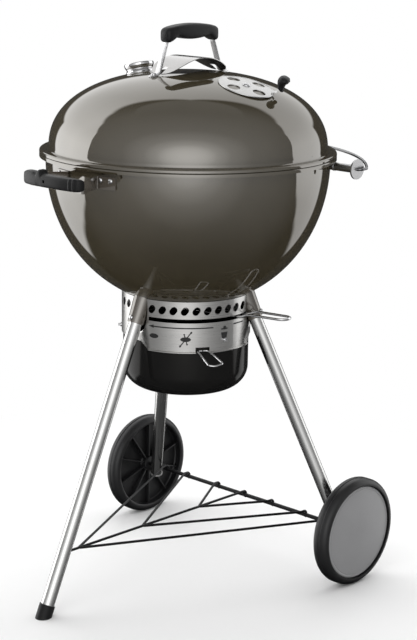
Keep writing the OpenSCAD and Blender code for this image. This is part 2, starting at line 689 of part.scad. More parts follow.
// ---- lid handle ----
bolt_r = 3;
bolt_at = strap_foot + 6;
grip_under = grip_top_z - grip_depth;
foot_tilt = lid_tilt(bolt_at);
foot_z = lid_z(bolt_at) + seat + strap_t / 2;
module handle_straps() placed() color("silver") for (s = [0, 1]) mirror([0, s, 0])
    difference() {
        rotate([90, 0, 90]) translate([0, 0, -strap_w / 2]) linear_extrude(strap_w)
            polygon(strip(rounded([
                [bolt_at + 8, foot_z - 8 * tan(foot_tilt)], [bolt_at - 10, foot_z + 10 * tan(foot_tilt)],
                [strap_top, grip_under - 6], [strap_top, grip_under + 12]], 3.5), strap_t));
        on_lid(90, bolt_at) translate([0, 0, -10]) cylinder(r = bolt_r, h = 40);
    }

grip_stations = 26;
module handle_grip() placed() color([0.12, 0.12, 0.12]) difference() {
    loft([for (i = [0:grip_stations]) let (t = -1 + 2 * i / grip_stations, e = grip_end(t),
        crown = grip_top_z - 11 * t * t - 5 * (1 - e),
        belly = grip_under + 1.5 + 3.5 * (1 - pow(abs(2 * t), 2)) * (abs(t) < 0.5 ? -1 : 0)
            + 2.5 * exp(-pow((abs(t) - 0.62) / 0.09, 2)) - 4 * exp(-pow((abs(t) - 0.9) / 0.16, 2))
            + 5 * (1 - e),
        w = grip_w * (0.86 + 0.14 * cos(t * 90)) * (0.55 + 0.45 * e))
        [for (p = grip_ring(0, w, belly, crown)) [-p.y, t * grip_len / 2, p.z]]]);
    // sockets for the strap ends
    for (s = [-1, 1]) translate([-strap_w / 2 - 0.2, s * strap_top - strap_t / 2 - 0.4, grip_under - 8])
        cube([strap_w + 0.4, strap_t + 0.8, 22]);
}

module handle_bolts() placed() color("silver") for (a = [90, 270]) on_lid(a, bolt_at) {
    translate([0, 0, -5]) cylinder(r = bolt_r, h = 9);
    translate([0, 0, seat + strap_t + 0.1]) rotate_extrude()
        polygon([[0, 0], [5.5, 0], [5.2, 1.6], [3.4, 3], [0, 3.5]]);
    translate([0, 0, -shell_t - 4.5]) cylinder(r = 5.6, h = 4, $fn = 6);
}

// The arched plate between the lid and the hand, on the strap feet
shield_half = 80;
module heat_shield() placed() color("silver") {
    base = lid_z(shield_half) + seat + shield_t / 2;
    mid = [for (i = [-8:8]) let (t = i / 8) [t * shield_half, base + shield_rise * (1 - t * t)]];
    difference() {
        intersection() {
            rotate([90, 0, 90]) translate([0, 0, -shield_w / 2]) linear_extrude(shield_w)
                polygon(strip(mid, shield_t));
            linear_extrude(grip_top_z) polygon([for (i = [0:35]) let (a = 10 * i, c = cos(a), s = sin(a))
                [sign(c) * pow(abs(c), 0.8) * shield_w / 2, sign(s) * pow(abs(s), 0.8) * (shield_half + 1)]]);
        }
        for (s = [-1, 1]) translate([-strap_w / 2 - 0.3, s > 0 ? strap_top : -strap_foot - 20, 0])
            cube([strap_w + 0.6, strap_foot + 20 - strap_top, grip_top_z]);
    }
}

// ---- lid damper ----
rivet_r = 3;
dome_r = 470;
disc_lift = 0.4;
rim_rise = 3;
tab_half = 6;
module lid_damper() placed() color("gainsboro") on_lid(0, damper_x) difference() {
    half = asin(damper_r / dome_r);
    union() {
        rotate_extrude() polygon(concat(
            arc([0, disc_lift - dome_r], dome_r, 90, 90 - half, 8),
            [[damper_r + 1, disc_lift - dome_r * (1 - cos(half)) + 0.4],
                [damper_r + 1, disc_lift - dome_r * (1 - cos(half)) + rim_rise],
                [damper_r - 0.6, disc_lift - dome_r * (1 - cos(half)) + rim_rise]],
            rev(arc([0, disc_lift - dome_r + damper_t], dome_r, 90, 90 - half + 0.15, 8))));
        // thumb tab, bent up from the rim
        rotate([0, 0, tab_turn]) translate([0, tab_half, 0]) rotate([90, 0, 0])
            linear_extrude(2 * tab_half) polygon(strip(rounded([[damper_r - 3, 0.8],
                [damper_r + 5, 1.2], [damper_r + 8, 6.8]], 3), 1.6));
    }
    translate([0, 0, -10]) cylinder(r = rivet_r + run_gap, h = 20);
    for (k = [0:vents - 1]) rotate([0, 0, 360 * k / vents + 45]) translate([vent_pitch_r, 0, -10])
        cylinder(r = vent_r, h = 20);
}

module damper_rivet() placed() color("silver") on_lid(0, damper_x) {
    translate([0, 0, -shell_t - 1]) cylinder(r = rivet_r, h = shell_t + 3.6);
    translate([0, 0, disc_lift + damper_t + seat]) rotate_extrude()
        polygon([[0, 0], [8, 0], [7.6, 1.2], [5, 2.6], [0, 3.3]]);
    translate([0, 0, -shell_t - 2.4]) cylinder(r = 6, h = 1.8);
}

module damper_knob() placed() color([0.25, 0.25, 0.25]) on_lid(0, damper_x)
    rotate([0, 0, tab_turn]) translate([damper_r + 8, 0, 0]) {
        k = 16;
        loft([for (s = [[-1, 4, 8, 5], [2, 6.5, 9, 3], [8, 7.5, 9.5, 2], [13, 9, 12, 2],
            [16, 11, 15, 3.5], [20, 12, 16, 5], [24, 10, 14, 5.5], [26, 6, 9, 5]])
            [for (j = [0:k - 1]) [s[3] + s[1] * cos(360 * j / k) * 0.9, s[2] * sin(360 * j / k), 8 + s[0]]]]);
    }

// ---- thermometer ----
probe_r = 3;
probe_len = 55;
gauge_seat = 0.35;
dial_lift = 12;
module gauge_bezel() placed() color("silver") on_lid(180, gauge_x) rotate_extrude() polygon([
    [gauge_r - 2.5, -gauge_seat], [gauge_r - 0.6, -gauge_seat], [gauge_r - 0.6, 2], [gauge_r - 3, 5],
    [gauge_r - 3, 9], [gauge_r - 0.6, 12], [gauge_r, 13.5], [gauge_r, gauge_h - 1.5],
    [gauge_r - 1.6, gauge_h], [gauge_r - 3.4, gauge_h], [gauge_r - 3.4, gauge_h - 2.2],
    [gauge_r - 2.4, gauge_h - 2.2], [gauge_r - 2.4, 13], [gauge_r - 4.8, 10], [gauge_r - 4.8, 4.5]]);

module gauge_dial() placed() color("white") on_lid(180, gauge_x) {
    translate([0, 0, 1]) cylinder(r = gauge_r - 5, h = dial_lift - 1);
    translate([0, 0, dial_lift]) difference() {
        cylinder(r = gauge_r - 5.1, h = 0.8);
        translate([0, 0, -1]) cylinder(r = 1 + run_gap, h = 4);
    }
}

module gauge_needle() placed() color("red") on_lid(180, gauge_x) translate([0, 0, dial_lift + 0.8 + seat])
    rotate([0, 0, 130]) {
        translate([0, 0, -0.9]) cylinder(r = 1, h = 0.9);
        linear_extrude(0.7) polygon([[-9, -1.6], [-9, 1.6], [0, 1.1], [19, 0.3], [19, -0.3], [0, -1.1]]);
        cylinder(r = 2.6, h = 1.3);
    }

module gauge_lens() placed() color("white", 0.3) on_lid(180, gauge_x)
    translate([0, 0, gauge_h - 3.7]) cylinder(r = gauge_r - 2.6, h = 1.4);

module gauge_probe() placed() color("silver") on_lid(180, gauge_x) {
    translate([0, 0, -probe_len]) cylinder(r = probe_r, h = probe_len + 0.6);
    translate([0, 0, -shell_t - 5.8]) cylinder(r = 8, h = 5, $fn = 6);
}

// ---- grates ----
// Parallel bars across a ring, left out inside a round opening
module bars(r, pitch, hole, z, d) {
    n = floor((r - ring_d) / pitch);
    for (k = [-n:n]) let (x = k * pitch, y = sqrt(r * r - x * x),
        y0 = abs(x) < hole ? sqrt(hole * hole - x * x) : 0)
        if (y0 == 0) translate([x, -y, z]) rotate([-90, 0, 0]) cylinder(d = d, h = 2 * y, $fn = 16);
        else for (s = [0, 1]) mirror([0, s, 0]) translate([x, y0, z]) rotate([-90, 0, 0])
            cylinder(d = d, h = y - y0, $fn = 16);
}
module ring(r, z) { translate([0, 0, z]) rotate_extrude() translate([r, 0]) circle(d = ring_d, $fn = 24); }
function chord(r, y) = sqrt(r * r - y * y);

insert_gap = 3;
grip_wire_d = 5;
grip_rise_z = 20;
grip_foot = 54;
grip_bend = 40;
grip_flat = 33;
module cooking_grate() placed() color("silver") {
    inner = insert_r + ring_d + insert_gap;
    ring(grate_r, grate_z);
    ring(inner, grate_z);
    bars(grate_r, bar_pitch, inner, grate_z, bar_d);
    for (s = [-1, 1]) translate([-chord(grate_r, inner + 30), s * (inner + 30), grate_z - 5])
        rotate([0, 90, 0]) cylinder(d = ring_d, h = 2 * chord(grate_r, inner + 30), $fn = 16);
    // lugs that carry the lift-out centre
    for (k = [0:3]) rotate([0, 0, 45 + 90 * k]) translate([insert_r - 4, -4, grate_z - ring_d / 2 - seat - 2])
        cube([ring_d + insert_gap + 5, 8, 2]);
    for (k = [0:3]) rotate([0, 0, 45 + 90 * k]) translate([inner - 2, -4, grate_z - ring_d / 2 - seat - 2])
        cube([4, 8, 4]);
}

module grate_insert() placed() color("silver") {
    ring(insert_r, grate_z);
    bars(insert_r, bar_pitch, 0, grate_z, bar_d);
}

module grate_handles() placed() color("silver") for (s = [0, 1]) mirror([s, 0, 0]) {
    x = bar_pitch * floor((grate_r - ring_d) / bar_pitch);
    low = grate_z + bar_d / 2 + grip_wire_d / 2 + 0.1;
    wire(rounded([[x, -grip_foot, low], [x, -grip_bend, low], [x, -grip_flat, low + grip_rise_z],
        [x, grip_flat, low + grip_rise_z], [x, grip_bend, low], [x, grip_foot, low]], 6, 3),
        grip_wire_d, [1, 0, 0]);
}

coal_r = bowl_in_at(coal_z - ring_d / 2) - ring_d / 2 - 2 * seat;
module charcoal_grate() placed() color("gray") {
    ring(coal_r, coal_z);
    bars(coal_r, coal_pitch, 0, coal_z, coal_bar_d);
    for (s = [-1, 1]) translate([-chord(coal_r, coal_r / 2), s * coal_r / 2, coal_z - 4])
        rotate([0, 90, 0]) cylinder(d = ring_d, h = 2 * chord(coal_r, coal_r / 2), $fn = 16);
}

// ---- sweep ----
shaft_r = 5;
blade_t = 1.5;
blade_lift = 0.6;
blade_dirs = [0, 120, 240];
module sweep_blades() placed() color("silver") {
    for (a = blade_dirs) rotate([0, 0, a - blade_sweep / 2]) rotate_extrude(angle = blade_sweep)
        polygon(concat([for (x = [8:(blade_r - 8) / 8:blade_r + 0.01]) [x, bowl_in_z(x) + blade_lift]],
            [for (x = [blade_r:-(blade_r - 8) / 8:7.99]) [x, bowl_in_z(x) + blade_lift + blade_t]]));
    // raised ploughs that push the ash
    for (a = blade_dirs) rotate([0, 0, a]) rotate([90, 0, 0]) translate([0, 0, -0.8]) linear_extrude(1.6)
        polygon(concat([for (x = [12:(blade_r - 14) / 6:blade_r - 1.9]) [x, bowl_in_z(x) + blade_lift + 1]],
            [for (x = [blade_r - 2:-(blade_r - 14) / 6:12]) [x, bowl_in_z(x) + blade_lift + 9]]));
    difference() {
        translate([0, 0, bowl_in_z(0) + blade_lift]) cylinder(r = 16, h = 6);
        translate([0, 0, bowl_in_z(0)]) cylinder(r = shaft_r, h = 10);
    }
}

module sweep_shaft() placed() color("gray") translate([0, 0, lever_z - 2]) {
    hub_top = bowl_in_z(0) + blade_lift + 6 - lever_z + 2;
    cylinder(r = shaft_r, h = hub_top);
    translate([0, 0, hub_top]) cylinder(r = 9, h = 5, $fn = 6);
}

crank_from = skirt_r + 8;
crank_rise = 7;
module sweep_lever() placed() color("silver") rotate([0, 0, lever_turn]) {
    difference() {
        translate([0, 0, lever_z - 3.5]) cylinder(r = 18, h = 7);
        translate([0, 0, lever_z - 5]) cylinder(r = shaft_r, h = 12);
    }
    tip = lever_r - lever_half - lever_d / 2;
    side = [[14, lever_half * 0.6, lever_z], [40, lever_half, lever_z], [crank_from, lever_half, lever_z],
        [crank_from + 14, lever_half, lever_z + crank_rise], [tip, lever_half, lever_z + crank_rise]];
    path = concat(rounded(side, 5, 3), [for (a = [67.5:-22.5:-67.5])
        [tip + lever_half * cos(a), lever_half * sin(a), lever_z + crank_rise]],
        rev([for (p = rounded(side, 5, 3)) [p.x, -p.y, p.z]]));
    wire(path, lever_d);
}

// ---- ash pan ----
module ash_pan() placed() color([0.08, 0.08, 0.08]) rotate_extrude() polygon(concat(
    [[0, pan_z]], arc([pan_r - pan_corner, pan_z + pan_corner], pan_corner, -90, 0, 10),
    [[pan_r, pan_top_z - 2], [pan_r - 0.8, pan_top_z], [pan_r - 3, pan_top_z], [pan_r - 3.6, pan_top_z - 1.6],
        [pan_r - pan_t, pan_top_z - 3]],
    rev(arc([pan_r - pan_corner, pan_z + pan_corner], pan_corner - pan_t, -90, 0, 10)),
    [[0, pan_z + pan_t]]));

bail_d = 4;
bail_drop = 20;
module pan_handle() placed() color("silver") rotate([0, 0, bail_turn])
    translate([pan_r + seat, 0, skirt_z + 6]) {
        rotate([0, bail_drop, 0]) wire(rounded([[2.2, -1, 0], [2.2, -10, 0], [26, -21, 0], [50, -10, 0],
            [50, 10, 0], [26, 21, 0], [2.2, 10, 0], [2.2, 1, 0]], 4, 3), bail_d);
        translate([0, -8, -5.5]) cube([1.4, 16, 11]);
    }

bowl();
grate_brackets();
bowl_handle_bracket();
bowl_handle_grip();
bowl_handle_rivets();
lid_holder_tubes();
ash_skirt();
skirt_catches();
leg_sockets();
socket_screws();
front_leg();
left_leg();
right_leg();
foot_cap();
leg_plugs();
axle();
axle_nuts();
bottom_rack();
lid();
handle_straps();
handle_grip();
handle_bolts();
heat_shield();
damper_rivet();
gauge_bezel();
gauge_dial();
gauge_lens();
gauge_probe();
gauge_needle();
lid_damper();
damper_knob();
cooking_grate();
grate_insert();
grate_handles();
charcoal_grate();
sweep_blades();
sweep_shaft();
sweep_lever();
ash_pan();
pan_handle();
lid_hoop();
left_wheel();
left_hubcap();
right_wheel();
right_hubcap();
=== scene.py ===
from math import atan, atan2, copysign, cos, exp, pi, radians, sin, sqrt

import bmesh
import bpy
from mathutils import Matrix, Vector


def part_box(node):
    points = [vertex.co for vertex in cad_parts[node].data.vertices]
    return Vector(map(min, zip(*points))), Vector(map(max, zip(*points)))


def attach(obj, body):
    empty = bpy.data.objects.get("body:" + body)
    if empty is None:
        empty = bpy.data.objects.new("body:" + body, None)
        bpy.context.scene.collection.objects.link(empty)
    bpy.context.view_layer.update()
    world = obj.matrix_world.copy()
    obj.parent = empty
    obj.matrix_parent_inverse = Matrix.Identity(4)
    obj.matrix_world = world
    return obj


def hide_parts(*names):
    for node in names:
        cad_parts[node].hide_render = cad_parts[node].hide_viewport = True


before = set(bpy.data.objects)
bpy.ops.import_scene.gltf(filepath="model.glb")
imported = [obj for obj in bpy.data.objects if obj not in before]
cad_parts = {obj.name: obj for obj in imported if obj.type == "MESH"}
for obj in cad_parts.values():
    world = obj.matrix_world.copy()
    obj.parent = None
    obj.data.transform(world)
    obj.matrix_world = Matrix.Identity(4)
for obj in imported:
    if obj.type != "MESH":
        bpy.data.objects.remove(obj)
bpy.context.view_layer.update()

# ---- The bowl ----
# Deep-drawn steel with glossy smoke-grey porcelain enamel fired on, inside and out. The rim
# is rolled outward and turned down, and three fans of slots in the bottom let the ash fall.
bowl_low, bowl_high = (Vector(corner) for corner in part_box("bowl"))
kettle_y = (bowl_low.y + bowl_high.y) / 2
flange_r = (bowl_high.x - bowl_low.x) / 2
flange_z = bowl_high.z
sheet = 0.0016
bowl_r, rim_z, bowl_depth, bowl_round = 0.268, 0.821, 0.282, 2.07


def shift(x, y, z):
    """A move along x, y and z."""
    return Matrix.Translation((x, y, z))


def spin(degrees, axis="Z"):
    """A turn about one axis."""
    return Matrix.Rotation(radians(degrees), 4, axis)


to_kettle = shift(0, kettle_y, 0)


def dome(radius, height, roundness, base, steps=56):
    """The section of a dome from its edge to its middle, as pairs of radius and height."""
    turns = [pi / 2 * i / steps for i in range(steps + 1)]
    return [(radius * abs(cos(a)) ** (2 / roundness), base + height * sin(a) ** (2 / roundness))
            for a in turns]


def arc(x, z, radius, start, end, steps=8):
    """A rounded corner of a section, between two directions in degrees."""
    turns = [radians(start + (end - start) * i / steps) for i in range(steps + 1)]
    return [(x + radius * cos(a), z + radius * sin(a)) for a in turns]


def turned(outline, around=144):
    """A ring or shell turned about the upright axis from the outline of its section."""
    bm = bmesh.new()
    section = [bm.verts.new((r, 0, z)) for r, z in outline]
    edges = [bm.edges.new(pair) for pair in zip(section, section[1:] + section[:1])]
    bmesh.ops.spin(bm, geom=section + edges, axis=(0, 0, 1), cent=(0, 0, 0), angle=2 * pi,
                   steps=around, use_merge=True)
    bmesh.ops.remove_doubles(bm, verts=bm.verts, dist=1e-6)
    bmesh.ops.delete(bm, geom=[edge for edge in bm.edges if not edge.link_faces], context="EDGES")
    bmesh.ops.recalc_face_normals(bm, faces=bm.faces)
    if bm.calc_volume(signed=True) < 0:
        bmesh.ops.reverse_faces(bm, faces=bm.faces)
    return bm


def smooth(mesh, crease=35):
    """Rounds a mesh's shading, with its edges kept sharp where they turn by more than crease."""
    mesh.shade_smooth()
    mesh.set_sharp_from_angle(angle=radians(crease))


def mesh_of(bm, name):
    """A mesh made of a finished bmesh."""
    mesh = bpy.data.meshes.new(name)
    bm.to_mesh(mesh)
    bm.free()
    return mesh


def in_scene(name, data):
    """A new object in the scene, made of a mesh, a curve, a lamp or a camera."""
    thing = bpy.data.objects.new(name, data)
    bpy.context.scene.collection.objects.link(thing)
    return thing


def make_piece(bm, name, material, body, place=to_kettle, crease=35):
    """Makes a shown piece of a finished bmesh, in its place on its body."""
    bmesh.ops.transform(bm, matrix=place, verts=bm.verts)
    mesh = mesh_of(bm, name)
    smooth(mesh, crease)
    mesh.materials.append(material)
    piece = in_scene(name, mesh)
    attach(piece, body)
    return piece


def rod(bm, radius, depth, place, around=32):
    """Adds an upright round rod to a bmesh, moved to its place, and gives its corners."""
    return bmesh.ops.create_cone(bm, cap_ends=True, segments=around, radius1=radius, radius2=radius,
                                 depth=depth, matrix=place)["verts"]


def cut_holes(piece, cutter, crease=35):
    """Punches the closed shapes of the bmesh cutter out of a piece."""
    punch = in_scene("punch", mesh_of(cutter, "punch"))
    step = piece.modifiers.new("holes", "BOOLEAN")
    step.operation, step.object, step.solver = "DIFFERENCE", punch, "EXACT"
    graph = bpy.context.evaluated_depsgraph_get()
    holed = bpy.data.meshes.new_from_object(piece.evaluated_get(graph))
    piece.modifiers.clear()
    piece.data = holed
    smooth(holed, crease)
    bpy.data.objects.remove(punch)


def add(tree, kind, sockets=None, **settings):
    """Adds a shader node with its settings, and its sockets filled in or linked."""
    node = tree.nodes.new("ShaderNode" + kind)
    for name, value in settings.items():
        setattr(node, name, value)
    for socket, value in (sockets or {}).items():
        if isinstance(value, bpy.types.NodeSocket):
            tree.links.new(value, node.inputs[socket])
        else:
            node.inputs[socket].default_value = value
    return node.outputs[0]


def shades(tree, amount, *stops):
    """Turns a grey amount into colours or greys, each given with its amount."""
    colours = add(tree, "ValToRGB", {"Fac": amount})
    ramp = colours.node.color_ramp
    for i, (place, colour) in enumerate(stops):
        stop = ramp.elements[i] if i < 2 else ramp.elements.new(place)
        stop.position = place
        stop.color = (*colour, 1) if isinstance(colour, tuple) else (colour, colour, colour, 1)
    return colours


def times(tree, one, other):
    """The product of two amounts."""
    return add(tree, "Math", {0: one, 1: other}, operation="MULTIPLY")


def new_finish(name, metal=0.0, rough=0.5):
    """A new material, its node tree, its shader and the place on the object that it reads."""
    material = bpy.data.materials.new(name)
    material.use_nodes = True
    tree = material.node_tree
    shader = tree.nodes["Principled BSDF"]
    shader.inputs["Metallic"].default_value = metal
    shader.inputs["Roughness"].default_value = rough
    where = tree.nodes.new("ShaderNodeTexCoord").outputs["Object"]
    return material, tree, shader, where


def paint(tree, shader, **parts):
    """Links colour, roughness or normal nodes to the shader."""
    for name, value in parts.items():
        tree.links.new(value, shader.inputs[name.replace("_", " ")])


def mixed(tree, amount, one, other):
    """One colour blended into another."""
    return add(tree, "Mix", {0: amount, 6: one, 7: other}, data_type="RGBA").node.outputs[2]


def smoke_enamel(name, deep, pale, lustre=2.3, dull=0.0):
    """Porcelain enamel: a deep tinted glass with a bright lustre and a faint orange peel."""
    enamel, tree, shader, where = new_finish(name)
    shader.inputs["IOR"].default_value = lustre
    shader.inputs["Specular Tint"].default_value = (1.0, 0.975, 0.93, 1)
    cloud = add(tree, "TexNoise", {"Vector": where, "Scale": 7.0, "Detail": 5.0, "Roughness": 0.6})
    speck = add(tree, "TexNoise", {"Vector": where, "Scale": 900.0, "Detail": 2.0})
    peel = add(tree, "TexNoise", {"Vector": where, "Scale": 160.0, "Detail": 1.0})
    colour = mixed(tree, 0.04, shades(tree, cloud, (0.3, deep), (0.7, pale)),
                   shades(tree, speck, (0.35, deep), (0.7, pale)))
    paint(tree, shader, Base_Color=colour,
          Roughness=shades(tree, cloud, (0.3, 0.025 + dull), (0.7, 0.045 + dull)),
          Normal=add(tree, "Bump", {"Height": peel, "Strength": 0.012, "Distance": 0.0004}))
    return enamel


shell_enamel = smoke_enamel("smoke_enamel", (0.042, 0.035, 0.021), (0.053, 0.044, 0.028))
rim_bend, lip_bend, bead_r, lip_drop = 0.005, 0.002, 0.0035, 0.006
bowl_section = (
    dome(bowl_r, -bowl_depth, bowl_round, rim_z)[::-1]
    + arc(bowl_r + rim_bend, flange_z - sheet - rim_bend, rim_bend, 180, 90)
    + arc(flange_r - sheet - lip_bend, flange_z - sheet - lip_bend, lip_bend, 90, 0)
    + [(flange_r - sheet, flange_z - sheet - lip_drop), (flange_r, flange_z - sheet - lip_drop)]
    + arc(flange_r - bead_r, flange_z - bead_r, bead_r, 0, 90)
    + arc(bowl_r + rim_bend, flange_z - sheet - rim_bend, rim_bend + sheet, 90, 180)
    + dome(bowl_r - sheet, sheet - bowl_depth, bowl_round, rim_z))
bowl = make_piece(turned(bowl_section, 180), "bowl_shell", shell_enamel, "frame")
bowl_floor = rim_z - bowl_depth
shaft_hole_r, slot_half, slot_from, slot_to = 0.00506, 0.0035, 0.034, 0.09
slots = bmesh.new()
rod(slots, shaft_hole_r, 0.03, shift(0, 0, bowl_floor))
for turn in [120 * fan + 60 + step for fan in range(3) for step in (-16, 0, 16)]:
    slot = rod(slots, slot_half, 0.05, Matrix(), 24)
    far = [vert for vert in slot if vert.co.x > 1e-5]
    near = [vert for vert in slot if vert.co.x <= 1e-5]
    bmesh.ops.translate(slots, vec=(slot_to, 0, 0), verts=far)
    bmesh.ops.translate(slots, vec=(slot_from, 0, 0), verts=near)
    bmesh.ops.transform(slots, verts=slot, matrix=spin(turn) @ shift(0, 0, bowl_floor + 0.022))
bmesh.ops.transform(slots, matrix=to_kettle, verts=slots.verts)
cut_holes(bowl, slots)
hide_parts("bowl")

# ---- Leg tubes ----
# Three aluminium tubes, drawn and satin-brushed along their length, pushed up into the bowl's
# sockets. The two rear ones end on the axle, and the front one stands in a cap.
leg_top_r, leg_top_z, front_foot_y, rear_foot_x = 0.1315, 0.529, -0.3665, 0.255
axle_y, axle_z = 0.177, 0.1058
leg_tops = [Vector((leg_top_r * cos(a), leg_top_r * sin(a), leg_top_z))
            for a in map(radians, (-90, 30, 150))]
leg_feet = [Vector((0, front_foot_y, 0)), Vector((rear_foot_x, axle_y, axle_z)),
            Vector((-rear_foot_x, axle_y, axle_z))]


def dress(node, material):
    """Gives a solid of the frame its finish."""
    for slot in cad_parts[node].material_slots:
        slot.material = material


def grained(name, deep, pale, metal, rough, fine=300.0, stretch=(1, 1, 1), turn=(0, 0, 0), bump=0.15,
            broad=12.0, lustre=1.45):
    """A metal, paint or plastic with a fine grain, which may run one way, and broad patches."""
    material, tree, shader, where = new_finish(name, metal=metal)
    shader.inputs["IOR"].default_value = lustre
    along = add(tree, "Mapping", {"Vector": where, "Rotation": turn, "Scale": stretch},
                vector_type="TEXTURE")
    grain = add(tree, "TexNoise", {"Vector": along, "Scale": fine, "Detail": 4.0, "Roughness": 0.6})
    patch = add(tree, "TexNoise", {"Vector": where, "Scale": broad, "Detail": 4.0, "Roughness": 0.55})
    colour = mixed(tree, 0.5, shades(tree, patch, (0.3, deep), (0.7, pale)),
                   shades(tree, grain, (0.3, deep), (0.7, pale)))
    gloss = times(tree, grain, patch)
    paint(tree, shader, Base_Color=colour,
          Roughness=shades(tree, gloss, (0.12, rough[0]), (0.4, rough[1])),
          Normal=add(tree, "Bump", {"Height": grain, "Strength": bump, "Distance": 0.0003}))
    return material


for node, top, foot in zip(("front_leg", "right_leg", "left_leg"), leg_tops, leg_feet):
    lean = (top - foot).to_track_quat("Z", "Y").to_euler()
    dress(node, grained(node + "_aluminium", (0.54, 0.54, 0.535), (0.64, 0.64, 0.63), 1.0, (0.2, 0.28),
                        fine=900.0, stretch=(1, 1, 60), turn=lean, bump=0.04, broad=9.0))

# ---- Leg sockets and their screws ----
# Short tapered steel sockets, welded to the bowl and enamelled with it in a browner shade.
# One plated pan-head screw through each socket holds its tube.
socket_enamel = smoke_enamel("socket_enamel", (0.052, 0.043, 0.033), (0.068, 0.056, 0.043), dull=0.04)
dress("leg_sockets", socket_enamel)
zinc = grained("zinc_plate", (0.52, 0.52, 0.53), (0.74, 0.74, 0.75), 1.0, (0.16, 0.3), fine=900.0,
               bump=0.06)
dress("socket_screws", zinc)

# ---- Foot cap and leg plugs ----
# A cap of black moulded plastic with a fine texture is pushed over the front leg's end. A
# plug of dull plated steel closes the lower end of each rear leg.
black_plastic = grained("black_plastic", (0.004, 0.004, 0.0043), (0.010, 0.010, 0.0105), 0.0, (0.36, 0.55),
                        fine=1400.0, bump=0.25, lustre=1.3)
dress("foot_cap", black_plastic)
dress("leg_plugs", grained("plug_steel", (0.58, 0.58, 0.575), (0.70, 0.70, 0.69), 0.75, (0.3, 0.45),
                           fine=900.0, bump=0.06))

# ---- Axle and nuts ----
# A black-painted steel rod through both rear legs, threaded at its ends. A plated nut inside
# each hubcap keeps the wheel on.
rack_paint = grained("black_paint", (0.003, 0.003, 0.0033), (0.008, 0.008, 0.0085), 0.0, (0.22, 0.4),
                     fine=500.0, bump=0.12, lustre=1.3)
dress("axle", rack_paint)
dress("axle_nuts", zinc)

# ---- Wheels ----
# Hard black plastic, moulded in one: a tyre with a shallow groove and soft shoulders, a
# dished web with ten ribs on its inner side, and a hub. The outer face takes the hubcap.
wheel_x, wheel_r, wheel_half, seat_r = 0.288, 0.1058, 0.017, 0.093
bore_r, hub_r, hub_end, hub_ease = 0.00406, 0.015, 0.013, 0.0015
shoulder, seat_ease, groove_half, groove_depth = 0.0115, 0.003, 0.003, 0.0011
web_top, cap_seat, seat_step = 0.004, 0.012, 0.004
ribs, rib_mid, rib_long, rib_thick, rib_deep = 10, 0.0525, 0.077, 0.0032, 0.011
tyre_plastic = grained("tyre_plastic", (0.006, 0.006, 0.0065), (0.013, 0.013, 0.014), 0.0, (0.3, 0.46),
                       fine=1100.0, bump=0.2, broad=18.0)
wheel_section = (
    [(bore_r, -hub_end), (hub_r - hub_ease, -hub_end)]
    + arc(hub_r - hub_ease, hub_ease - hub_end, hub_ease, -90, 0, 4)
    + [(hub_r, -0.002), (hub_r + 0.002, 0), (seat_r - 0.005, 0), (seat_r - seat_ease, -0.002),
       (seat_r - seat_ease, -0.012)]
    + arc(seat_r, seat_ease - wheel_half, seat_ease, 180, 270, 5)
    + arc(wheel_r - shoulder, shoulder - wheel_half, shoulder, -90, -8, 12)
    + [(wheel_r, -groove_half), (wheel_r - groove_depth, groove_depth - groove_half),
       (wheel_r - groove_depth, groove_half - groove_depth), (wheel_r, groove_half)]
    + arc(wheel_r - shoulder, wheel_half - shoulder, shoulder, 8, 90, 12)
    + [(seat_r, wheel_half), (seat_r, cap_seat), (seat_r - seat_step, cap_seat),
       (seat_r - seat_step, web_top), (hub_r, web_top), (bore_r, web_top)])


def on_axle(side):
    """The place of a wheel on the axle, with Z pointing outward."""
    return to_kettle @ shift(side * wheel_x, axle_y, axle_z) @ spin(90 * side, "Y")


def block(bm, place, long, wide, high):
    """Adds a block to a bmesh, with its middle at a place, and gives its corners."""
    stretch = Matrix.Diagonal((long, wide, high, 1))
    return bmesh.ops.create_cube(bm, size=1.0, matrix=place @ stretch)["verts"]


def eased(bm, edges, offset):
    """Rounds some edges of a bmesh a little."""
    bmesh.ops.bevel(bm, geom=edges, offset=offset, offset_type="OFFSET", affect="EDGES", segments=2,
                    profile=0.5, material=-1)


for side, name in ((-1, "left"), (1, "right")):
    wheel = turned(wheel_section, 128)
    for k in range(ribs):
        place = spin(360 / ribs * k) @ shift(rib_mid, 0, -0.0045)
        rib = block(wheel, place, rib_long, rib_thick, rib_deep)
        lower = [edge for edge in {e for vert in rib for e in vert.link_edges}
                 if abs(edge.verts[0].co.z - edge.verts[1].co.z) < 1e-6 and edge.verts[0].co.z < -0.008]
        eased(wheel, lower, 0.0008)
    wheel = make_piece(wheel, name + "_tyre", tyre_plastic, name + "_wheel", on_axle(side))
    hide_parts(name + "_wheel")

# ---- Hubcaps ----
# Mid-grey plastic discs, slightly domed, with a stepped edge. They snap into the outer faces
# of the wheels and hide the nuts.
hub_grey = grained("hubcap_plastic", (0.235, 0.235, 0.24), (0.30, 0.30, 0.305), 0.0, (0.34, 0.5),
                   fine=1300.0, bump=0.12, broad=8.0)
cap_r, cap_rise, cap_edge, cap_sheet, crown_r = 0.091, 0.007, 0.0022, 0.003, 0.0845
bend_r = (cap_r ** 2 + cap_rise ** 2) / (2 * cap_rise)
bend_z = wheel_half + cap_rise - 0.0036 - bend_r
crown = [(r, bend_z + sqrt(bend_r ** 2 - r * r))
         for r in [crown_r * sin(pi / 2 * i / 20) for i in range(21)]]
edge_z = crown[-1][1]
cap_low = wheel_half - 0.0047
cap_section = (crown + [(crown_r + 0.0008, edge_z - 0.0007), (crown_r + 0.0017, edge_z - 0.0003)]
               + arc(cap_r - cap_edge, edge_z - 0.0026, cap_edge, 70, 0, 6)
               + [(cap_r, cap_low), (cap_r - 0.004, cap_low)]
               + [(r * 0.97, z - cap_sheet) for r, z in crown[::-1]])
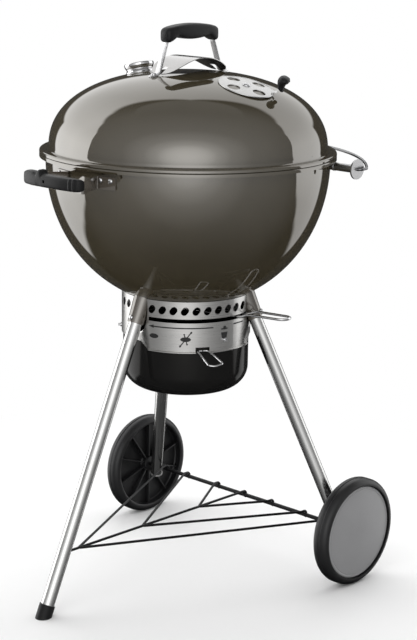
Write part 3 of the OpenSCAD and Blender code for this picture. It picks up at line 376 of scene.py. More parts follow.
for side, name in ((-1, "left"), (1, "right")):
    cap = turned(cap_section, 128)
    cap = make_piece(cap, name + "_hubcap_disc", hub_grey, name + "_wheel", on_axle(side))
    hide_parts(name + "_hubcap")

# ---- Bottom rack ----
# Five-millimetre black-painted steel wire: three nested Vs and a spine. Each end hooks over
# the axle, and the spine's front end is welded to the front leg.
rack_z, rack_wire, hook_r, spine_front = 0.1126, 0.005, 0.0068, -0.3012


def rounded(points, radius, steps=6):
    """The points of a bent wire, with each corner rounded."""
    points = [Vector(point) for point in points]
    path = [points[0]]
    for before, corner, after in zip(points, points[1:], points[2:]):
        start, end = (corner + (far - corner).normalized() * min(radius, (far - corner).length / 2)
                      for far in (before, after))
        path += [start.lerp(corner, t).lerp(corner.lerp(end, t), t)
                 for t in [i / steps for i in range(steps + 1)]]
    return path + [points[-1]]


def wire_piece(name, paths, thick, material, body, place=to_kettle):
    """Round wire along one path or more."""
    wire = bpy.data.curves.new(name, "CURVE")
    wire.dimensions = "3D"
    wire.bevel_depth, wire.bevel_resolution, wire.use_fill_caps = thick / 2, 4, True
    for path in paths:
        line = wire.splines.new("POLY")
        line.points.add(len(path) - 1)
        for point, spot in zip(line.points, path):
            point.co = (*(place @ Vector(spot)), 1)
    wire.materials.append(material)
    piece = in_scene(name, wire)
    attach(piece, body)
    return piece


def axle_hook(x):
    """The end of a rack wire, bent over the axle from the front."""
    return [(x, axle_y + hook_r * cos(a), axle_z + hook_r * sin(a))
            for a in map(radians, range(90, -75, -15))]


rack_paths = [[(0, spine_front, rack_z), (0, axle_y - 0.006, rack_z)] + axle_hook(0)]
for front_y, half in ((-0.280, 0.226), (-0.114, 0.163), (0.043, 0.075)):
    corners = [(-half, axle_y - 0.008, rack_z), (0, front_y, rack_z), (half, axle_y - 0.008, rack_z)]
    rack_paths.append(axle_hook(-half)[::-1] + rounded(corners, 0.006) + axle_hook(half))
rack = wire_piece("rack_wires", rack_paths, rack_wire, rack_paint, "frame")
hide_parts("bottom_rack")

# ---- Ash skirt and its marks ----
# A sheet of stainless steel, rolled into a drum and brushed round it, with slanted oval
# holes, a slot for the lever and a rolled front lip. The lever's plain signs are printed black.
skirt_r = 0.124
stainless, tree, shader, where = new_finish("brushed_stainless", metal=1.0)
centred = add(tree, "Mapping", {"Vector": where, "Location": (0, -kettle_y, 0)})
parts = add(tree, "SeparateXYZ", {"Vector": centred}).node.outputs
round_it = add(tree, "Math", {0: parts["Y"], 1: parts["X"]}, operation="ARCTAN2")
unrolled = add(tree, "CombineXYZ", {"X": round_it, "Y": 0.0, "Z": parts["Z"]})
lines = add(tree, "Mapping", {"Vector": unrolled, "Scale": (1.6, 1, 950)})
hairline = add(tree, "TexNoise", {"Vector": lines, "Scale": 1.0, "Detail": 5.0, "Roughness": 0.7})
sheen = add(tree, "TexNoise", {"Vector": add(tree, "Mapping", {"Vector": unrolled, "Scale": (3, 1, 60)}),
                               "Scale": 1.0, "Detail": 3.0})
paint(tree, shader,
      Base_Color=mixed(tree, 0.35,
                       shades(tree, hairline, (0.3, (0.45, 0.445, 0.435)), (0.7, (0.57, 0.565, 0.55))),
                       shades(tree, sheen, (0.3, (0.48, 0.475, 0.465)), (0.7, (0.54, 0.535, 0.525)))),
      Roughness=shades(tree, hairline, (0.25, 0.25), (0.75, 0.33)),
      Normal=add(tree, "Bump", {"Height": hairline, "Strength": 0.05, "Distance": 0.0002}))
dress("ash_skirt", stainless)
dress("skirt_catches", zinc)

print_black = grained("printed_black", (0.012, 0.012, 0.012), (0.022, 0.022, 0.022), 0.0, (0.45, 0.6),
                      fine=900.0, bump=0.05)


def stretched(along_it, up, long, high, lean=0.0):
    """The place of a unit sign in a flat sheet: its middle, its length and height, and its lean."""
    return shift(along_it, up, 0) @ spin(lean) @ Matrix.Diagonal((long, high, 1, 1))


def flat_bar(signs, *place):
    """A bar in a flat sheet of signs."""
    bmesh.ops.create_grid(signs, x_segments=1, y_segments=1, size=0.5, matrix=stretched(*place))


def flat_oval(signs, *place):
    """An oval in a flat sheet of signs."""
    bmesh.ops.create_circle(signs, cap_ends=True, cap_tris=True, segments=28, radius=0.5,
                            matrix=stretched(*place))


def flat_shape(signs, corners):
    """A shape with straight sides in a flat sheet of signs."""
    signs.faces.new([signs.verts.new((*corner, 0)) for corner in corners])


def round_skirt(degrees):
    """How far round the skirt's outside a direction lies."""
    return radians(degrees) * skirt_r


arrow_z, line_w, ink, head_half = 0.5177, 0.0024, 0.00012, 0.0033
arrow_tip, arrow_end, bar_from, bar_to = (round_skirt(turn) for turn in (-80.1, -21.4, 0.1, 14.4))
dot_at, sweep_at, bin_at = (round_skirt(turn) for turn in (-74.6, -45.9, -10.3))
sweep_z, bin_top, bin_low = 0.4965, 0.5066, 0.4946
arrow_head = arrow_tip + 0.0115
signs = bmesh.new()
flat_bar(signs, (arrow_head + arrow_end) / 2, arrow_z, arrow_end - arrow_head, line_w)
flat_shape(signs, [(arrow_tip, arrow_z), (arrow_head, arrow_z - head_half),
                   (arrow_head, arrow_z + head_half)])
flat_bar(signs, (bar_from + bar_to) / 2, arrow_z + 0.0015, bar_to - bar_from, line_w)
flat_oval(signs, dot_at, 0.4995, 0.0190, 0.0090)
flat_oval(signs, sweep_at, sweep_z, 0.0200, 0.0092)
for lean, reach, knob in ((52, 0.0165, 0.0050), (106, 0.0100, 0.0026)):
    flat_bar(signs, sweep_at, sweep_z, 2 * reach, 0.0020, lean)
    for end in (-reach, reach):
        flat_oval(signs, sweep_at + end * cos(radians(lean)),
                  sweep_z + end * sin(radians(lean)), knob, 0.0036, lean)
flat_shape(signs, [(bin_at - 0.0076, bin_top), (bin_at - 0.0052, bin_low), (bin_at + 0.0052, bin_low),
                   (bin_at + 0.0076, bin_top)])
flat_oval(signs, bin_at, 0.5132, 0.0165, 0.0036)
flat_oval(signs, bin_at + 0.0006, 0.5158, 0.0064, 0.0062, 20)
for turn in range(-82, 18):
    bmesh.ops.bisect_plane(signs, geom=signs.verts[:] + signs.edges[:] + signs.faces[:],
                           plane_co=(round_skirt(turn), 0, 0), plane_no=(1, 0, 0))
for vert in signs.verts:
    turn = vert.co.x / skirt_r
    vert.co = ((skirt_r + ink) * cos(turn), (skirt_r + ink) * sin(turn), vert.co.y)
bmesh.ops.recalc_face_normals(signs, faces=signs.faces)
for face in signs.faces:
    if face.normal.dot(face.calc_center_median()) < 0:
        face.normal_flip()
signs = make_piece(signs, "skirt_signs", print_black, "frame")

# ---- Sweep ----
# Three stainless blades, formed to the bowl's bottom with a rib down each, on a turned shaft.
# The plated wire lever is clamped to the shaft inside the skirt and cranks up outside it.
dress("sweep_blades", stainless)
steel = grained("plain_steel", (0.36, 0.355, 0.35), (0.56, 0.55, 0.54), 1.0, (0.24, 0.42), fine=600.0,
                bump=0.12)
dress("sweep_shaft", steel)
chrome = grained("bright_chrome", (0.62, 0.62, 0.63), (0.74, 0.74, 0.75), 1.0, (0.05, 0.1), fine=300.0,
                 bump=0.02, broad=30.0)
lever_z, lever_up, lever_tip, half_loop, lever_wire = 0.531, 0.538, 0.2095, 0.016, 0.005
lever_side = rounded([(0.013, 0.0092, lever_z), (0.040, half_loop, lever_z), (0.132, half_loop, lever_z),
                      (0.146, half_loop, lever_up), (lever_tip, half_loop, lever_up)], 0.006)
lever_bend = [(lever_tip + half_loop * cos(a), half_loop * sin(a), lever_up)
              for a in map(radians, range(80, -90, -10))]
lever_path = lever_side + lever_bend + [Vector((p.x, -p.y, p.z)) for p in lever_side[::-1]]
lever = wire_piece("sweep_lever_wire", [lever_path], lever_wire, chrome, "sweep", to_kettle @ spin(12))
clamp_r, clamp_half, clamp_ease, clamp_bore = 0.018, 0.0035, 0.001, 0.005
clamp_section = ([(clamp_bore, lever_z - clamp_half), (clamp_r - clamp_ease, lever_z - clamp_half)]
                 + arc(clamp_r - clamp_ease, lever_z + clamp_ease - clamp_half, clamp_ease, -90, 0, 3)
                 + arc(clamp_r - clamp_ease, lever_z + clamp_half - clamp_ease, clamp_ease, 0, 90, 3)
                 + [(clamp_bore, lever_z + clamp_half)])
clamp = make_piece(turned(clamp_section, 64), "sweep_lever_clamp", steel, "sweep")
for piece in (lever, clamp):
    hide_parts("sweep_lever")

# ---- Ash pan ----
# A deep-drawn steel cup with gloss black enamel, rolled at its top edge. It hangs inside the
# skirt on three plated pins.
pan_low, pan_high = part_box("ash_pan")
pan_r, pan_z, pan_top, corner = (pan_high[0] - pan_low[0]) / 2, pan_low[2], pan_high[2], 0.042
pan_sheet, roll_r = 0.0012, 0.0018
pan_enamel = smoke_enamel("pan_enamel", (0.006, 0.006, 0.006), (0.010, 0.0098, 0.0095), lustre=1.22,
                          dull=0.1)
pan_section = (
    [(0, pan_z)] + arc(pan_r - corner, pan_z + corner, corner, -90, 0, 20)
    + arc(pan_r - roll_r, pan_top - roll_r, roll_r, 0, 180, 10)
    + [(pan_r - 2 * roll_r, pan_top - 0.003), (pan_r - pan_sheet, pan_top - 0.0045)]
    + arc(pan_r - corner, pan_z + corner, corner - pan_sheet, 0, -90, 20) + [(0, pan_z + pan_sheet)])
pan = make_piece(turned(pan_section, 128), "pan_cup", pan_enamel, "pan")
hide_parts("ash_pan")

# ---- Pan handle ----
# A bail of plated wire, hinged on a small steel plate that is welded to the pan. It hangs
# outward from the notch in the skirt's front edge.
clear, hinge_z, bail_wire, bail_out = 0.0003, 0.475, 0.004, 0.0022
hinge = to_kettle @ spin(-31) @ shift(pan_r + clear, 0, hinge_z)
bail_bends = [(bail_out, -0.001, 0), (bail_out, -0.010, 0), (0.051, 0, 0), (0.054, 0.012, 0),
              (0.047, 0.028, 0), (0.024, 0.020, 0), (bail_out, 0.010, 0), (bail_out, 0.001, 0)]
bail = wire_piece("pan_bail", [rounded(bail_bends, 0.0045)], bail_wire, chrome, "pan",
                  hinge @ spin(20, "Y"))
lug = bmesh.new()
block(lug, shift(0.0007, 0, 0), 0.0014, 0.016, 0.011)
eased(lug, lug.edges, 0.0005)
lug = make_piece(lug, "pan_bail_plate", pan_enamel, "pan", hinge)
for piece in (bail, lug):
    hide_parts("pan_handle")

# ---- Grate brackets and grates ----
# Stainless straps inside the bowl carry the cooking grate; the charcoal grate lies on the
# bowl's wall. Both grates are welded steel wire, the upper one plated, the lower one dull.
dress("grate_brackets", stainless)
grate_wire = grained("grate_plating", (0.42, 0.415, 0.41), (0.66, 0.655, 0.65), 1.0, (0.18, 0.32),
                     fine=450.0, bump=0.1, broad=16.0)
coal_wire = grained("coal_grate_steel", (0.20, 0.19, 0.185), (0.38, 0.37, 0.36), 1.0, (0.34, 0.55),
                    fine=350.0, bump=0.2, broad=14.0)
dress("cooking_grate", grate_wire)
dress("grate_insert", grate_wire)
dress("charcoal_grate", coal_wire)
grate_low, grate_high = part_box("grate_handles")
grip_wire = 0.005
grip_x, grip_base = (grate_high[0] - grate_low[0] - grip_wire) / 2, grate_low[2] + grip_wire / 2
grip_bends = [(-0.054, 0), (-0.040, 0), (-0.033, 0.020), (0.033, 0.020), (0.040, 0), (0.054, 0)]
grip_paths = [rounded([(side * grip_x, y, grip_base + rise) for y, rise in grip_bends], 0.007)
              for side in (-1, 1)]
grate_grips = wire_piece("grate_grip_wires", grip_paths, grip_wire, grate_wire, "cooking_grate")
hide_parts("grate_handles")

# ---- Bowl handle ----
# A bent steel bracket, enamelled in the sockets' brown and riveted to the bowl, with a bowed
# grip of black nylon screwed to it. Two hooks for tools stand on the grip, and ribs end it.
dress("bowl_handle_bracket", socket_enamel)
dress("bowl_handle_rivets", zinc)
nylon = grained("black_nylon", (0.005, 0.005, 0.0053), (0.012, 0.012, 0.0125), 0.0, (0.34, 0.5),
                fine=1500.0, bump=0.22, broad=20.0, lustre=1.3)
side_front, side_z, side_len, side_h, side_t = 0.33105, 0.8085, 0.150, 0.023, 0.022


def moulded(shape, rings=56, around=32):
    """A moulded grip: a rod with every point moved to shape(place along it, direction round it)."""
    bm = bmesh.new()
    rod(bm, 1, 2, Matrix(), around)
    sides = [edge for edge in bm.edges if abs(edge.verts[0].co.z - edge.verts[1].co.z) > 1]
    bmesh.ops.subdivide_edges(bm, edges=sides, cuts=rings - 1, use_grid_fill=True)
    for vert in bm.verts:
        vert.co = shape(vert.co.z, atan2(vert.co.y, vert.co.x))
    bmesh.ops.recalc_face_normals(bm, faces=bm.faces)
    return bm


def boxy(angle):
    """A point on a rounded box, one across and one high from middle to edge."""
    return tuple(copysign(abs(part) ** 0.55, part) for part in (cos(angle), sin(angle)))


def end_taper(t):
    """How full a grip still is near its ends."""
    return sqrt(max(0.0, 1 - abs(t) ** 16))


def side_grip(t, angle):
    """The bowl handle's grip: flat to its bracket, bowed, with two hooks and ribs by its end."""
    across, up = boxy(angle)
    full = 0.62 + 0.38 * end_taper(t)
    hook = 0.003 * exp(-((t + 0.68) / 0.2) ** 4) + 0.0075 * exp(-((t + 0.31) / 0.075) ** 4)
    ridges = sum(exp(-((t - ridge) / 0.017) ** 2) for ridge in (0.72, 0.83, 0.94))
    low = side_h * full / 2
    top = low + hook
    out = (side_t * full - 0.009 * abs(t) ** 2.5 + 0.0011 * ridges) / 2
    return (t * side_len / 2, -(side_front + out + across * out),
            side_z + (top - low + up * (top + low)) / 2)


bowl_grip = make_piece(moulded(side_grip, rings=170, around=40), "bowl_grip", nylon, "frame", crease=50)
recess = bmesh.new()
rod(recess, 0.0028, 0.012, to_kettle @ shift(-0.0075, -side_front - side_t, side_z) @ spin(90, "X"))
cut_holes(bowl_grip, recess, crease=50)
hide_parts("bowl_handle_grip")

# ---- Lid holder ----
# A hoop of plated wire behind the bowl, hinged in two short tubes with a flat disc at each
# end. The lid leans in it while the grill is tended.
dress("lid_hoop", grained("hoop_plating", (0.16, 0.16, 0.165), (0.24, 0.24, 0.245), 1.0, (0.16, 0.26),
                          fine=500.0, bump=0.05, broad=20.0))
dress("lid_holder_tubes", grained("holder_plating", (0.42, 0.42, 0.425), (0.56, 0.56, 0.565), 1.0,
                                  (0.25, 0.4), fine=500.0, bump=0.05, broad=20.0))

# ---- The lid ----
# Drawn steel with the bowl's smoke-grey enamel, dished out to a flange with a turned-down
# lip. A short inner wall centres it in the bowl. Holes take the vents, bolts and probe.
lid_r, lid_h, lid_round, fold, turn_r = 0.2623, 0.144, 2.28, 0.0015, 0.0032
lid_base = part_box("lid")[1][2] - lid_h
lid_top, lid_lip = lid_base - fold, flange_z + clear
wall_r, wall_low = lid_r + 0.0019, lid_lip - 0.009
lid_section = (
    dome(lid_r, lid_h, lid_round, lid_base, 72)[::-1]
    + [(lid_r + 0.0004, lid_base - 0.0007), (lid_r + 0.0014, lid_top)]
    + arc(flange_r - turn_r, lid_top - turn_r, turn_r, 90, 0, 8)
    + [(flange_r, lid_lip), (flange_r - sheet, lid_lip)]
    + arc(flange_r - turn_r, lid_top - turn_r, turn_r - sheet, 0, 90, 5)
    + [(wall_r, lid_top - sheet), (wall_r, wall_low), (wall_r - sheet, wall_low), (wall_r - sheet, lid_top)]
    + dome(lid_r - sheet, lid_h - sheet, lid_round, lid_base, 72))
lid = make_piece(turned(lid_section, 180), "lid_shell", shell_enamel, "lid")


def lid_z(x):
    """The height of the lid's outside at a distance from its middle."""
    return lid_base + lid_h * (1 - (x / lid_r) ** lid_round) ** (1 / lid_round)


def lid_slope(x):
    """How steeply the lid falls away at that distance."""
    return (lid_z(x - 0.001) - lid_z(x + 0.001)) / 0.002


def on_lid(turn, x):
    """A place on the lid's outside, with Z square to the surface and X running down it."""
    return (to_kettle @ spin(turn) @ shift(x, 0, lid_z(x))
            @ Matrix.Rotation(atan(lid_slope(x)), 4, "Y"))


damper_at, gauge_at = on_lid(0, 0.144), on_lid(180, 0.131)
vent_at, vent_r, bolt_hole_r, bolt_at = 0.033, 0.012, 0.003, 0.093
punches = bmesh.new()
for k in range(4):
    rod(punches, vent_r, 0.04, damper_at @ spin(90 * k + 45) @ shift(vent_at, 0, 0), 40)
for place in (damper_at, gauge_at, on_lid(90, bolt_at), on_lid(270, bolt_at)):
    rod(punches, bolt_hole_r, 0.04, place, 40)
cut_holes(lid, punches)
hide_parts("lid")

# ---- Lid handle: straps, bolts and grip ----
# Two satin-plated steel straps, bolted through the lid, rise into a black nylon grip. The
# grip is moulded with a crowned back and a swell for the fingers below.
grip_top, grip_len, grip_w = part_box("handle_grip")[1][2], 0.134, 0.032
grip_under = grip_top - 0.027
strap_top, strap_w, strap_t = 0.061, 0.012, 0.003
foot_z, foot_slope = lid_z(bolt_at) + clear + strap_t / 2, lid_slope(bolt_at)
strap_path = rounded([(0, bolt_at + 0.008, foot_z - 0.008 * foot_slope),
                      (0, bolt_at - 0.010, foot_z + 0.010 * foot_slope),
                      (0, strap_top, grip_under - 0.006), (0, strap_top, grip_under + 0.012)], 0.0045, 8)
section = []
for before, spot, after in zip(strap_path[:1] + strap_path, strap_path, strap_path[1:] + [strap_path[-1]]):
    run = (after - before).normalized() * strap_t / 2
    section = [spot + Vector((0, -run.z, run.y))] + section + [spot + Vector((0, run.z, -run.y))]
straps = bmesh.new()
for side in (-1, 1):
    face = straps.faces.new([straps.verts.new((-strap_w / 2, side * y, z)) for x, y, z in section])
    swept = bmesh.ops.extrude_face_region(straps, geom=[face])["geom"]
    moved = [part for part in swept if isinstance(part, bmesh.types.BMVert)]
    bmesh.ops.translate(straps, vec=(strap_w, 0, 0), verts=moved)
bmesh.ops.recalc_face_normals(straps, faces=straps.faces)
short = [edge for edge in straps.edges if edge.calc_face_angle(0) > 1 and edge.calc_length() < 0.01]
eased(straps, short, 0.0005)
strap_plate = grained("strap_plating", (0.52, 0.52, 0.525), (0.66, 0.66, 0.665), 1.0, (0.28, 0.4),
                      fine=700.0, stretch=(30, 1, 1), bump=0.05)
straps = make_piece(straps, "strap_pair", strap_plate, "lid", crease=40)
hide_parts("handle_straps")
dress("handle_bolts", zinc)


def lid_grip(t, angle):
    """The lid's grip: a crowned back, and a belly with a swell between two shallow dips."""
    full = end_taper(t)
    across, up = boxy(angle)
    crown = grip_top - 0.0075 * t * t - 0.005 * (1 - full)
    swell = -0.0035 * (1 - (2 * t) ** 2) if abs(t) < 0.5 else 0.002 * (1 - (2 * t) ** 2)
    belly = (grip_under + 0.0015 + swell + 0.0025 * exp(-((abs(t) - 0.62) / 0.09) ** 2)
             - 0.004 * exp(-((abs(t) - 0.9) / 0.16) ** 2) + 0.005 * (1 - full))
    wide = grip_w * (0.86 + 0.14 * cos(t * pi / 2)) * (0.55 + 0.45 * full)
    return (across * wide / 2, t * grip_len / 2, (belly + crown) / 2 + up * (crown - belly) / 2)


lid_handle = make_piece(moulded(lid_grip), "lid_grip", nylon, "lid", crease=50)
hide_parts("handle_grip")

# ---- Heat shield ----
# A thin polished stainless plate, arched over the lid between the strap feet, which keeps
# the heat off the hand. Painted shade darkens its underside, and notches fit it round the straps.
shield_half, shield_w, shield_rise, shield_t, notch_w = 0.080, 0.078, 0.029, 0.0012, 0.0126
shield_base = lid_z(shield_half) + clear + shield_t / 2
shield = bmesh.new()
bmesh.ops.create_grid(shield, x_segments=24, y_segments=72, size=1.0)
for vert in shield.verts:
    x, y = vert.co.x, vert.co.y
    round_off = (1 - abs(y) ** 4) ** 0.4 if abs(y) < 1 else 0.0
    vert.co = (x * shield_w / 2 * round_off, y * shield_half, shield_base + shield_rise * (1 - y * y))
bmesh.ops.remove_doubles(shield, verts=shield.verts, dist=1e-5)
bmesh.ops.solidify(shield, geom=shield.faces, thickness=-shield_t)
bmesh.ops.recalc_face_normals(shield, faces=shield.faces)
polished = grained("polished_stainless", (0.36, 0.355, 0.35), (0.48, 0.475, 0.47), 1.0, (0.1, 0.2),
                   fine=800.0, stretch=(30, 1, 1), bump=0.04)
shield = make_piece(shield, "shield_plate", polished, "lid", crease=50)
# Painted shade: faces that point down get a dark finish that stands for the shade under the plate.
painted_shade_below = grained("painted_shade_underside", (0.02, 0.019, 0.018), (0.05, 0.047, 0.045), 0.6, (0.4, 0.6))
shield.data.materials.append(painted_shade_below)
for face in shield.data.polygons:
    face.material_index = int(face.normal.z < -0.3)
notches = bmesh.new()
for side in (-1, 1):
    block(notches, to_kettle @ shift(0, side * 0.084, 0.95), notch_w, 0.046, 0.3)
cut_holes(shield, notches, crease=50)
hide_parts("heat_shield")

# ---- Lid damper ----
# An aluminium disc, pressed to the lid's curve and held by one rivet. Its four holes uncover
# the lid's vents as it turns. A tab on its rim carries a knob of dark nylon.
damper_metal = grained("spun_aluminium", (0.50, 0.50, 0.495), (0.72, 0.72, 0.71), 1.0, (0.26, 0.42),
                       fine=700.0, bump=0.15, broad=30.0)
damper_r, press_r, gap, plate, rim_up, rim_ease = 0.051, 0.470, 0.0004, 0.0014, 0.0015, 0.0005
rivet_hole_r = 0.00306


def pressed(r, up=0.0):
    """A point on the disc's curved underside, or above it."""
    return (r, gap - press_r + sqrt(press_r ** 2 - r * r) + up)


rim_at = pressed(damper_r, rim_up)[1]
disc_section = ([pressed(damper_r * i / 20) for i in range(21)] + [pressed(damper_r + 0.001, 0.0006)]
                + arc(damper_r + rim_ease, rim_at, rim_ease, 0, 90, 3)
                + arc(damper_r - 0.0001, rim_at, rim_ease, 90, 180, 3)
                + [pressed(damper_r * i / 20, plate) for i in range(19, -1, -1)])
disc = make_piece(turned(disc_section, 96), "damper_disc", damper_metal, "damper", damper_at)
vents = bmesh.new()
for k in range(4):
    rod(vents, vent_r, 0.03, damper_at @ spin(90 * k) @ shift(vent_at, 0, 0), 40)
rod(vents, rivet_hole_r, 0.03, damper_at)
cut_holes(disc, vents)
tab_at = damper_at @ spin(40)
tab_root, tab_long, tab_half = damper_r - 0.0035, 0.0105, 0.006
tab_low, tab_rise, tab_flat = 0.0012, 0.0056, 0.45
tab = bmesh.new()
bmesh.ops.create_grid(tab, x_segments=10, y_segments=4, size=1.0)
for vert in tab.verts:
    run = (vert.co.x + 1) / 2
    rise = max(0.0, (run - tab_flat) / (1 - tab_flat)) ** 1.5
    vert.co = (tab_root + tab_long * min(1, run * 1.25), vert.co.y * tab_half, tab_low + tab_rise * rise)
bmesh.ops.recalc_face_normals(tab, faces=tab.faces)
bmesh.ops.solidify(tab, geom=tab.faces, thickness=plate)
tab = make_piece(tab, "damper_tab", damper_metal, "damper", tab_at)
for piece in (disc, tab):
    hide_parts("lid_damper")
dress("damper_rivet", zinc)
# The height, depth, width and outward lean of each ring of the knob.
knob_rings = [(-0.001, 0.004, 0.008, 0.005), (0.002, 0.0065, 0.009, 0.003), (0.008, 0.0075, 0.0095, 0.002),
              (0.013, 0.009, 0.012, 0.002), (0.016, 0.011, 0.015, 0.0035), (0.020, 0.012, 0.016, 0.005),
              (0.024, 0.010, 0.014, 0.0055), (0.026, 0.006, 0.009, 0.005)]


def knob_shape(t, angle):
    """The damper's knob: a stem that swells and leans outward into a rounded head."""
    run = (t + 1) / 2 * (len(knob_rings) - 1)
    k = min(int(run), len(knob_rings) - 2)
    up, deep, wide, out = (a + (b - a) * (run - k) for a, b in zip(knob_rings[k], knob_rings[k + 1]))
    return (damper_r + 0.008 + out + 0.9 * deep * cos(angle), wide * sin(angle), 0.008 + up)


knob = make_piece(moulded(knob_shape, 28, 28), "knob_body", nylon, "damper", tab_at, crease=60)
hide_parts("damper_knob")

# ---- Thermometer ----
# A bimetal dial in a polished bezel with a glass front. Its printed face has a ring of
# ticks, plain numbers and a red needle, and its stem goes down through the lid.
bezel_r, bezel_h, bead, lens_r, seat = 0.0285, 0.019, 0.0024, 0.0251, 0.0237
bezel_section = ([(bezel_r - 0.0025, -0.00035), (bezel_r - 0.0008, -0.00035)]
                 + arc(bezel_r - 0.0016, 0.0012, 0.001, -20, 40, 4)
                 + [(bezel_r - 0.0028, 0.0045)] + arc(bezel_r - 0.0012, 0.007, 0.0020, 235, 125, 8)
                 + [(bezel_r - 0.0008, 0.0115)]
                 + arc(bezel_r - 0.0030, 0.0142, 0.0030, -35, 0, 5)
                 + arc(bezel_r - bead, bezel_h - bead, bead, 0, 100, 10)
                 + [(lens_r, bezel_h - 0.0006), (lens_r, bezel_h - 0.0022),
                    (bezel_r - bead, bezel_h - 0.0022), (bezel_r - bead, 0.013), (seat, 0.010),
                    (seat, 0.0045)])
bezel = make_piece(turned(bezel_section, 96), "bezel_ring", chrome, "lid", gauge_at)
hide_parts("gauge_bezel")
dress("gauge_probe", steel)
dress("gauge_dial", grained("dial_paint", (0.72, 0.715, 0.70), (0.80, 0.795, 0.78), 0.0, (0.35, 0.5),
                            fine=900.0, bump=0.03))
dress("gauge_needle", grained("needle_paint", (0.42, 0.015, 0.012), (0.52, 0.022, 0.018), 0.0, (0.3, 0.42),
                              fine=800.0, bump=0.03))
lens, tree, shader, where = new_finish("lens_glass", rough=0.02)
shader.inputs["Transmission Weight"].default_value = 1.0
shader.inputs["IOR"].default_value = 1.45
dust = add(tree, "TexNoise", {"Vector": where, "Scale": 300.0, "Detail": 4.0})
paint(tree, shader, Roughness=shades(tree, dust, (0.4, 0.01), (0.75, 0.05)),
      Base_Color=shades(tree, dust, (0.4, (0.97, 0.98, 0.98)), (0.75, (0.92, 0.93, 0.93))))
dress("gauge_lens", lens)
ticks = bmesh.new()
dial_top, dial_from, dial_sweep, tick_r, number_r = 0.0129, 130, 250, 0.0200, 0.0136
for k in range(26):
    long, wide = (0.0034, 0.0006) if k % 5 == 0 else (0.0019, 0.0003)
    bmesh.ops.create_grid(ticks, x_segments=1, y_segments=1, size=0.5,
                          matrix=spin(dial_from - dial_sweep * k / 25)
                          @ shift(tick_r - long / 2, 0, dial_top) @ Matrix.Diagonal((long, wide, 1, 1)))
ticks = make_piece(ticks, "dial_ticks", print_black, "lid", gauge_at)
for k, words in enumerate(("0", "50", "100", "150", "200", "250")):
    turn = radians(dial_from - dial_sweep * k / 5)
    text = bpy.data.curves.new("dial_number_" + words, "FONT")
    text.body, text.size, text.align_x, text.align_y = words, 0.0046, "CENTER", "CENTER"
    holder = in_scene("number", text)
    mesh = bpy.data.meshes.new_from_object(holder.evaluated_get(bpy.context.evaluated_depsgraph_get()))
    bpy.data.objects.remove(holder)
    spot = shift(number_r * cos(turn), number_r * sin(turn), dial_top)
    mesh.transform(gauge_at @ spot @ spin(90))
    mesh.materials.clear()
    mesh.materials.append(print_black)
    number = in_scene("dial_number_" + words, mesh)
    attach(number, "lid")

# ---- Floor, light and camera ----
# A plain pale floor under soft studio light: broad panels at both sides, behind and in front.
# A great ball round it all, seen by reflections alone, glows in front and holds two screens.
camera_data = bpy.data.cameras.new("camera")
camera_data.sensor_fit, camera_data.sensor_height, camera_data.lens = "VERTICAL", 24, 62.641875
camera_data.clip_end = 40
camera = in_scene("camera", camera_data)
bpy.context.scene.camera = camera
heading, pitch, roll = radians(43.47), radians(13.59), radians(0.94)
to_camera = Vector((sin(heading), -cos(heading), 0))
to_side = Vector((cos(heading), sin(heading), 0))
forward = -cos(pitch) * to_camera - Vector((0, 0, sin(pitch)))
upright = to_side.cross(forward)
rightward = cos(roll) * to_side + sin(roll) * upright
upward = -sin(roll) * to_side + cos(roll) * upright
camera.matrix_world = shift(2.1865, -2.2436 + kettle_y, 1.2622) @ Matrix(
    (rightward, upward, -forward)).transposed().to_4x4()


def eased_step(tree, value, start, end):
    """Nothing until a value reaches its start, then softly up to one at its end."""
    return add(tree, "MapRange", {"Value": value, "From Min": start, "From Max": end},
               interpolation_type="SMOOTHSTEP")


floor = bmesh.new()
bmesh.ops.create_circle(floor, cap_ends=True, radius=14, segments=96)
floor = in_scene("floor", mesh_of(floor, "floor"))
floor_paint, tree, shader, where = new_finish("floor_paint", rough=0.6)
shader.inputs["Base Color"].default_value = (0.86, 0.86, 0.86, 1)
away = add(tree, "VectorMath", {0: where}, operation="LENGTH").node.outputs["Value"]
rays = add(tree, "LightPath").node.outputs
seen = times(tree, rays["Is Camera Ray"], eased_step(tree, away, 0.35, 1.1))
white = add(tree, "Emission", {"Color": (1, 1, 1, 1), "Strength": 1.0})
both = add(tree, "MixShader", {0: seen, 1: shader.outputs[0], 2: white})
tree.links.new(both, tree.nodes["Material Output"].inputs["Surface"])
floor.data.materials.append(floor_paint)

world = bpy.data.worlds.new("studio")
bpy.context.scene.world = world
world.use_nodes = True
tree = world.node_tree
rays = add(tree, "LightPath").node.outputs
shown = add(tree, "Math", {0: rays["Is Camera Ray"], 1: rays["Is Transmission Ray"]}, operation="MAXIMUM")
strength = add(tree, "MapRange", {"Value": shown, "To Min": 0.55, "To Max": 1.0})
tree.links.new(strength, tree.nodes["Background"].inputs["Strength"])
tree.nodes["Background"].inputs["Color"].default_value = (1, 1, 1, 1)
middle = Vector((0, kettle_y, 0.75))


def panel(name, turn, lift, away, wide, high, power):
    """A soft light panel facing the grill: turn degrees from the camera to its right, lift above."""
    turn, lift = radians(turn), radians(lift)
    aim = (cos(turn) * to_camera + sin(turn) * to_side) * cos(lift) + Vector((0, 0, sin(lift)))
    light = bpy.data.lights.new(name, "AREA")
    light.shape, light.size, light.size_y, light.energy = "RECTANGLE", wide, high, power
    lamp = in_scene(name, light)
    facing = aim.to_track_quat("Z", "Y").to_matrix().to_4x4()
    lamp.matrix_world = shift(*(middle + aim * away)) @ facing
    lamp.visible_camera = lamp.visible_glossy = False


panel("left_panel", -111, 12, 2.2, 2.3, 2.8, 34)
panel("right_panel", 128, 12, 2.2, 2.3, 2.8, 34)
panel("top_panel", 180, 62, 2.2, 2.6, 2.2, 30)
panel("front_panel", -25, 35, 3.2, 2.0, 2.0, 26)

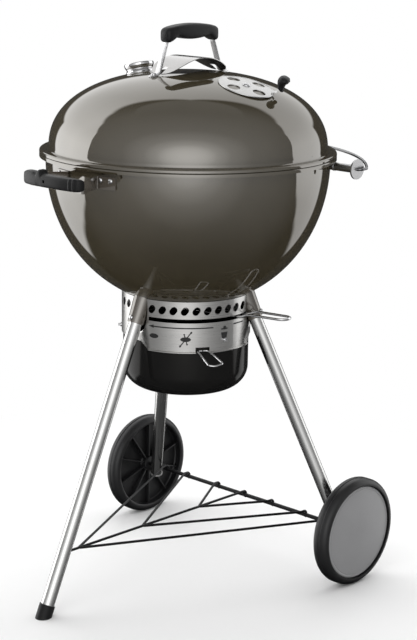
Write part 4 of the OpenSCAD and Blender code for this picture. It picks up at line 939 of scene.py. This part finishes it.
surround = bmesh.new()
bmesh.ops.create_uvsphere(surround, u_segments=64, v_segments=32, radius=9)
surround = in_scene("surround", mesh_of(surround, "surround"))
surround.location = middle
surround.rotation_euler = (0, 0, heading - pi / 2)
surround.visible_camera = surround.visible_diffuse = False
surround.visible_transmission = surround.visible_shadow = False
floor.visible_glossy = False
cloth = bpy.data.materials.new("surround_cloth")
cloth.use_nodes = True
tree = cloth.node_tree
aim = add(tree, "VectorMath", {0: add(tree, "TexCoord").node.outputs["Object"]}, operation="NORMALIZE")
parts = add(tree, "SeparateXYZ", {"Vector": aim}).node.outputs
bearing = add(tree, "Math", {0: add(tree, "Math", {0: parts["Y"], 1: parts["X"]}, operation="ARCTAN2")},
              operation="DEGREES")
rise = add(tree, "Math", {0: add(tree, "Math", {0: parts["Z"]}, operation="ARCSINE")}, operation="DEGREES")
off_front = add(tree, "Math", {0: bearing}, operation="ABSOLUTE")
all_round = add(tree, "MapRange", {"Value": bearing, "From Min": -180.0, "From Max": 180.0})


def edge_of(*stops):
    """The rise of a screen's edge all round, from pairs of degrees of bearing and rise."""
    rises = shades(tree, all_round, *(((away + 180) / 360, (high + 90) / 180) for away, high in stops))
    return add(tree, "MapRange", {"Value": rises, "To Min": -90.0, "To Max": 90.0})


def over(edge):
    """One where a direction lies above an edge, fading softly to nothing below it."""
    return eased_step(tree, add(tree, "Math", {0: rise, 1: edge}, operation="SUBTRACT"), -2.4, 2.4)


facing = add(tree, "VectorMath", {0: aim, 1: (cos(radians(8)), 0, sin(radians(8)))},
             operation="DOT_PRODUCT").node.outputs["Value"]
facing = add(tree, "MapRange", {"Value": facing, "From Min": -1.0, "From Max": 1.0})
front_glow = shades(tree, facing, (0.0, 0.008), (0.325, 0.02), (0.5, 0.10), (0.8, 0.175), (0.91, 0.30),
                    (0.957, 0.47), (0.983, 0.70), (1.0, 0.825))
dimmed_below = shades(tree, add(tree, "MapRange", {"Value": parts["Z"], "From Min": -1.0, "From Max": 1.0}),
                      (0.0, 0.1), (0.25, 0.6), (0.5, 1.0))
glow = times(tree, times(tree, front_glow, dimmed_below), 2.75)

above_screens = over(edge_of((-180, 62), (-150, 57), (-119, 52), (-99, 43), (-88, 29), (-84, 0), (-82, -89),
                             (90, -89), (92, 0), (97, 30), (108, 43), (127, 50), (150, 55), (180, 62)))
above_foot = over(edge_of((-180, -45), (-124, -36), (-105, -30), (-93, -22), (-86, -5), (-84, 89),
                          (90, 89), (92, 0), (98, -16), (110, -28), (125, -34), (180, -45)))
screens = times(tree, add(tree, "Math", {0: 1.0, 1: above_screens}, operation="SUBTRACT"), above_foot)
by_bearing = shades(tree, all_round, (0.0, 0.55), (0.07, 0.62), (0.13, 0.80), (0.20, 1.0), (0.5, 1.0),
                    (0.60, 0.62), (0.80, 0.60), (0.88, 0.52), (0.94, 0.48), (1.0, 0.55))
by_rise = shades(tree, add(tree, "MapRange", {"Value": rise, "From Min": -90.0, "From Max": 90.0}),
                 (0.333, 0.66), (0.39, 0.74), (0.46, 1.0), (0.55, 1.0), (0.66, 0.8), (0.83, 0.7))
screens = times(tree, times(tree, screens, times(tree, by_bearing, by_rise)), 2.9)
glow = add(tree, "Math", {0: glow, 1: screens}, operation="MAXIMUM")
ceiling = times(tree, eased_step(tree, rise, 60.0, 64.0), 0.28)
glow = add(tree, "Math", {0: glow, 1: ceiling}, operation="MAXIMUM")
behind = times(tree, eased_step(tree, off_front, 135.0, 138.0), eased_step(tree, rise, 16.5, 13.5))
dark = add(tree, "MapRange", {"Value": behind, "To Min": 1.0, "To Max": 0.03})
glow = add(tree, "Emission", {"Color": (1, 1, 1, 1), "Strength": times(tree, glow, dark)})
tree.links.new(glow, tree.nodes["Material Output"].inputs["Surface"])
surround.data.materials.append(cloth)

bpy.context.scene.view_settings.view_transform = "Standard"
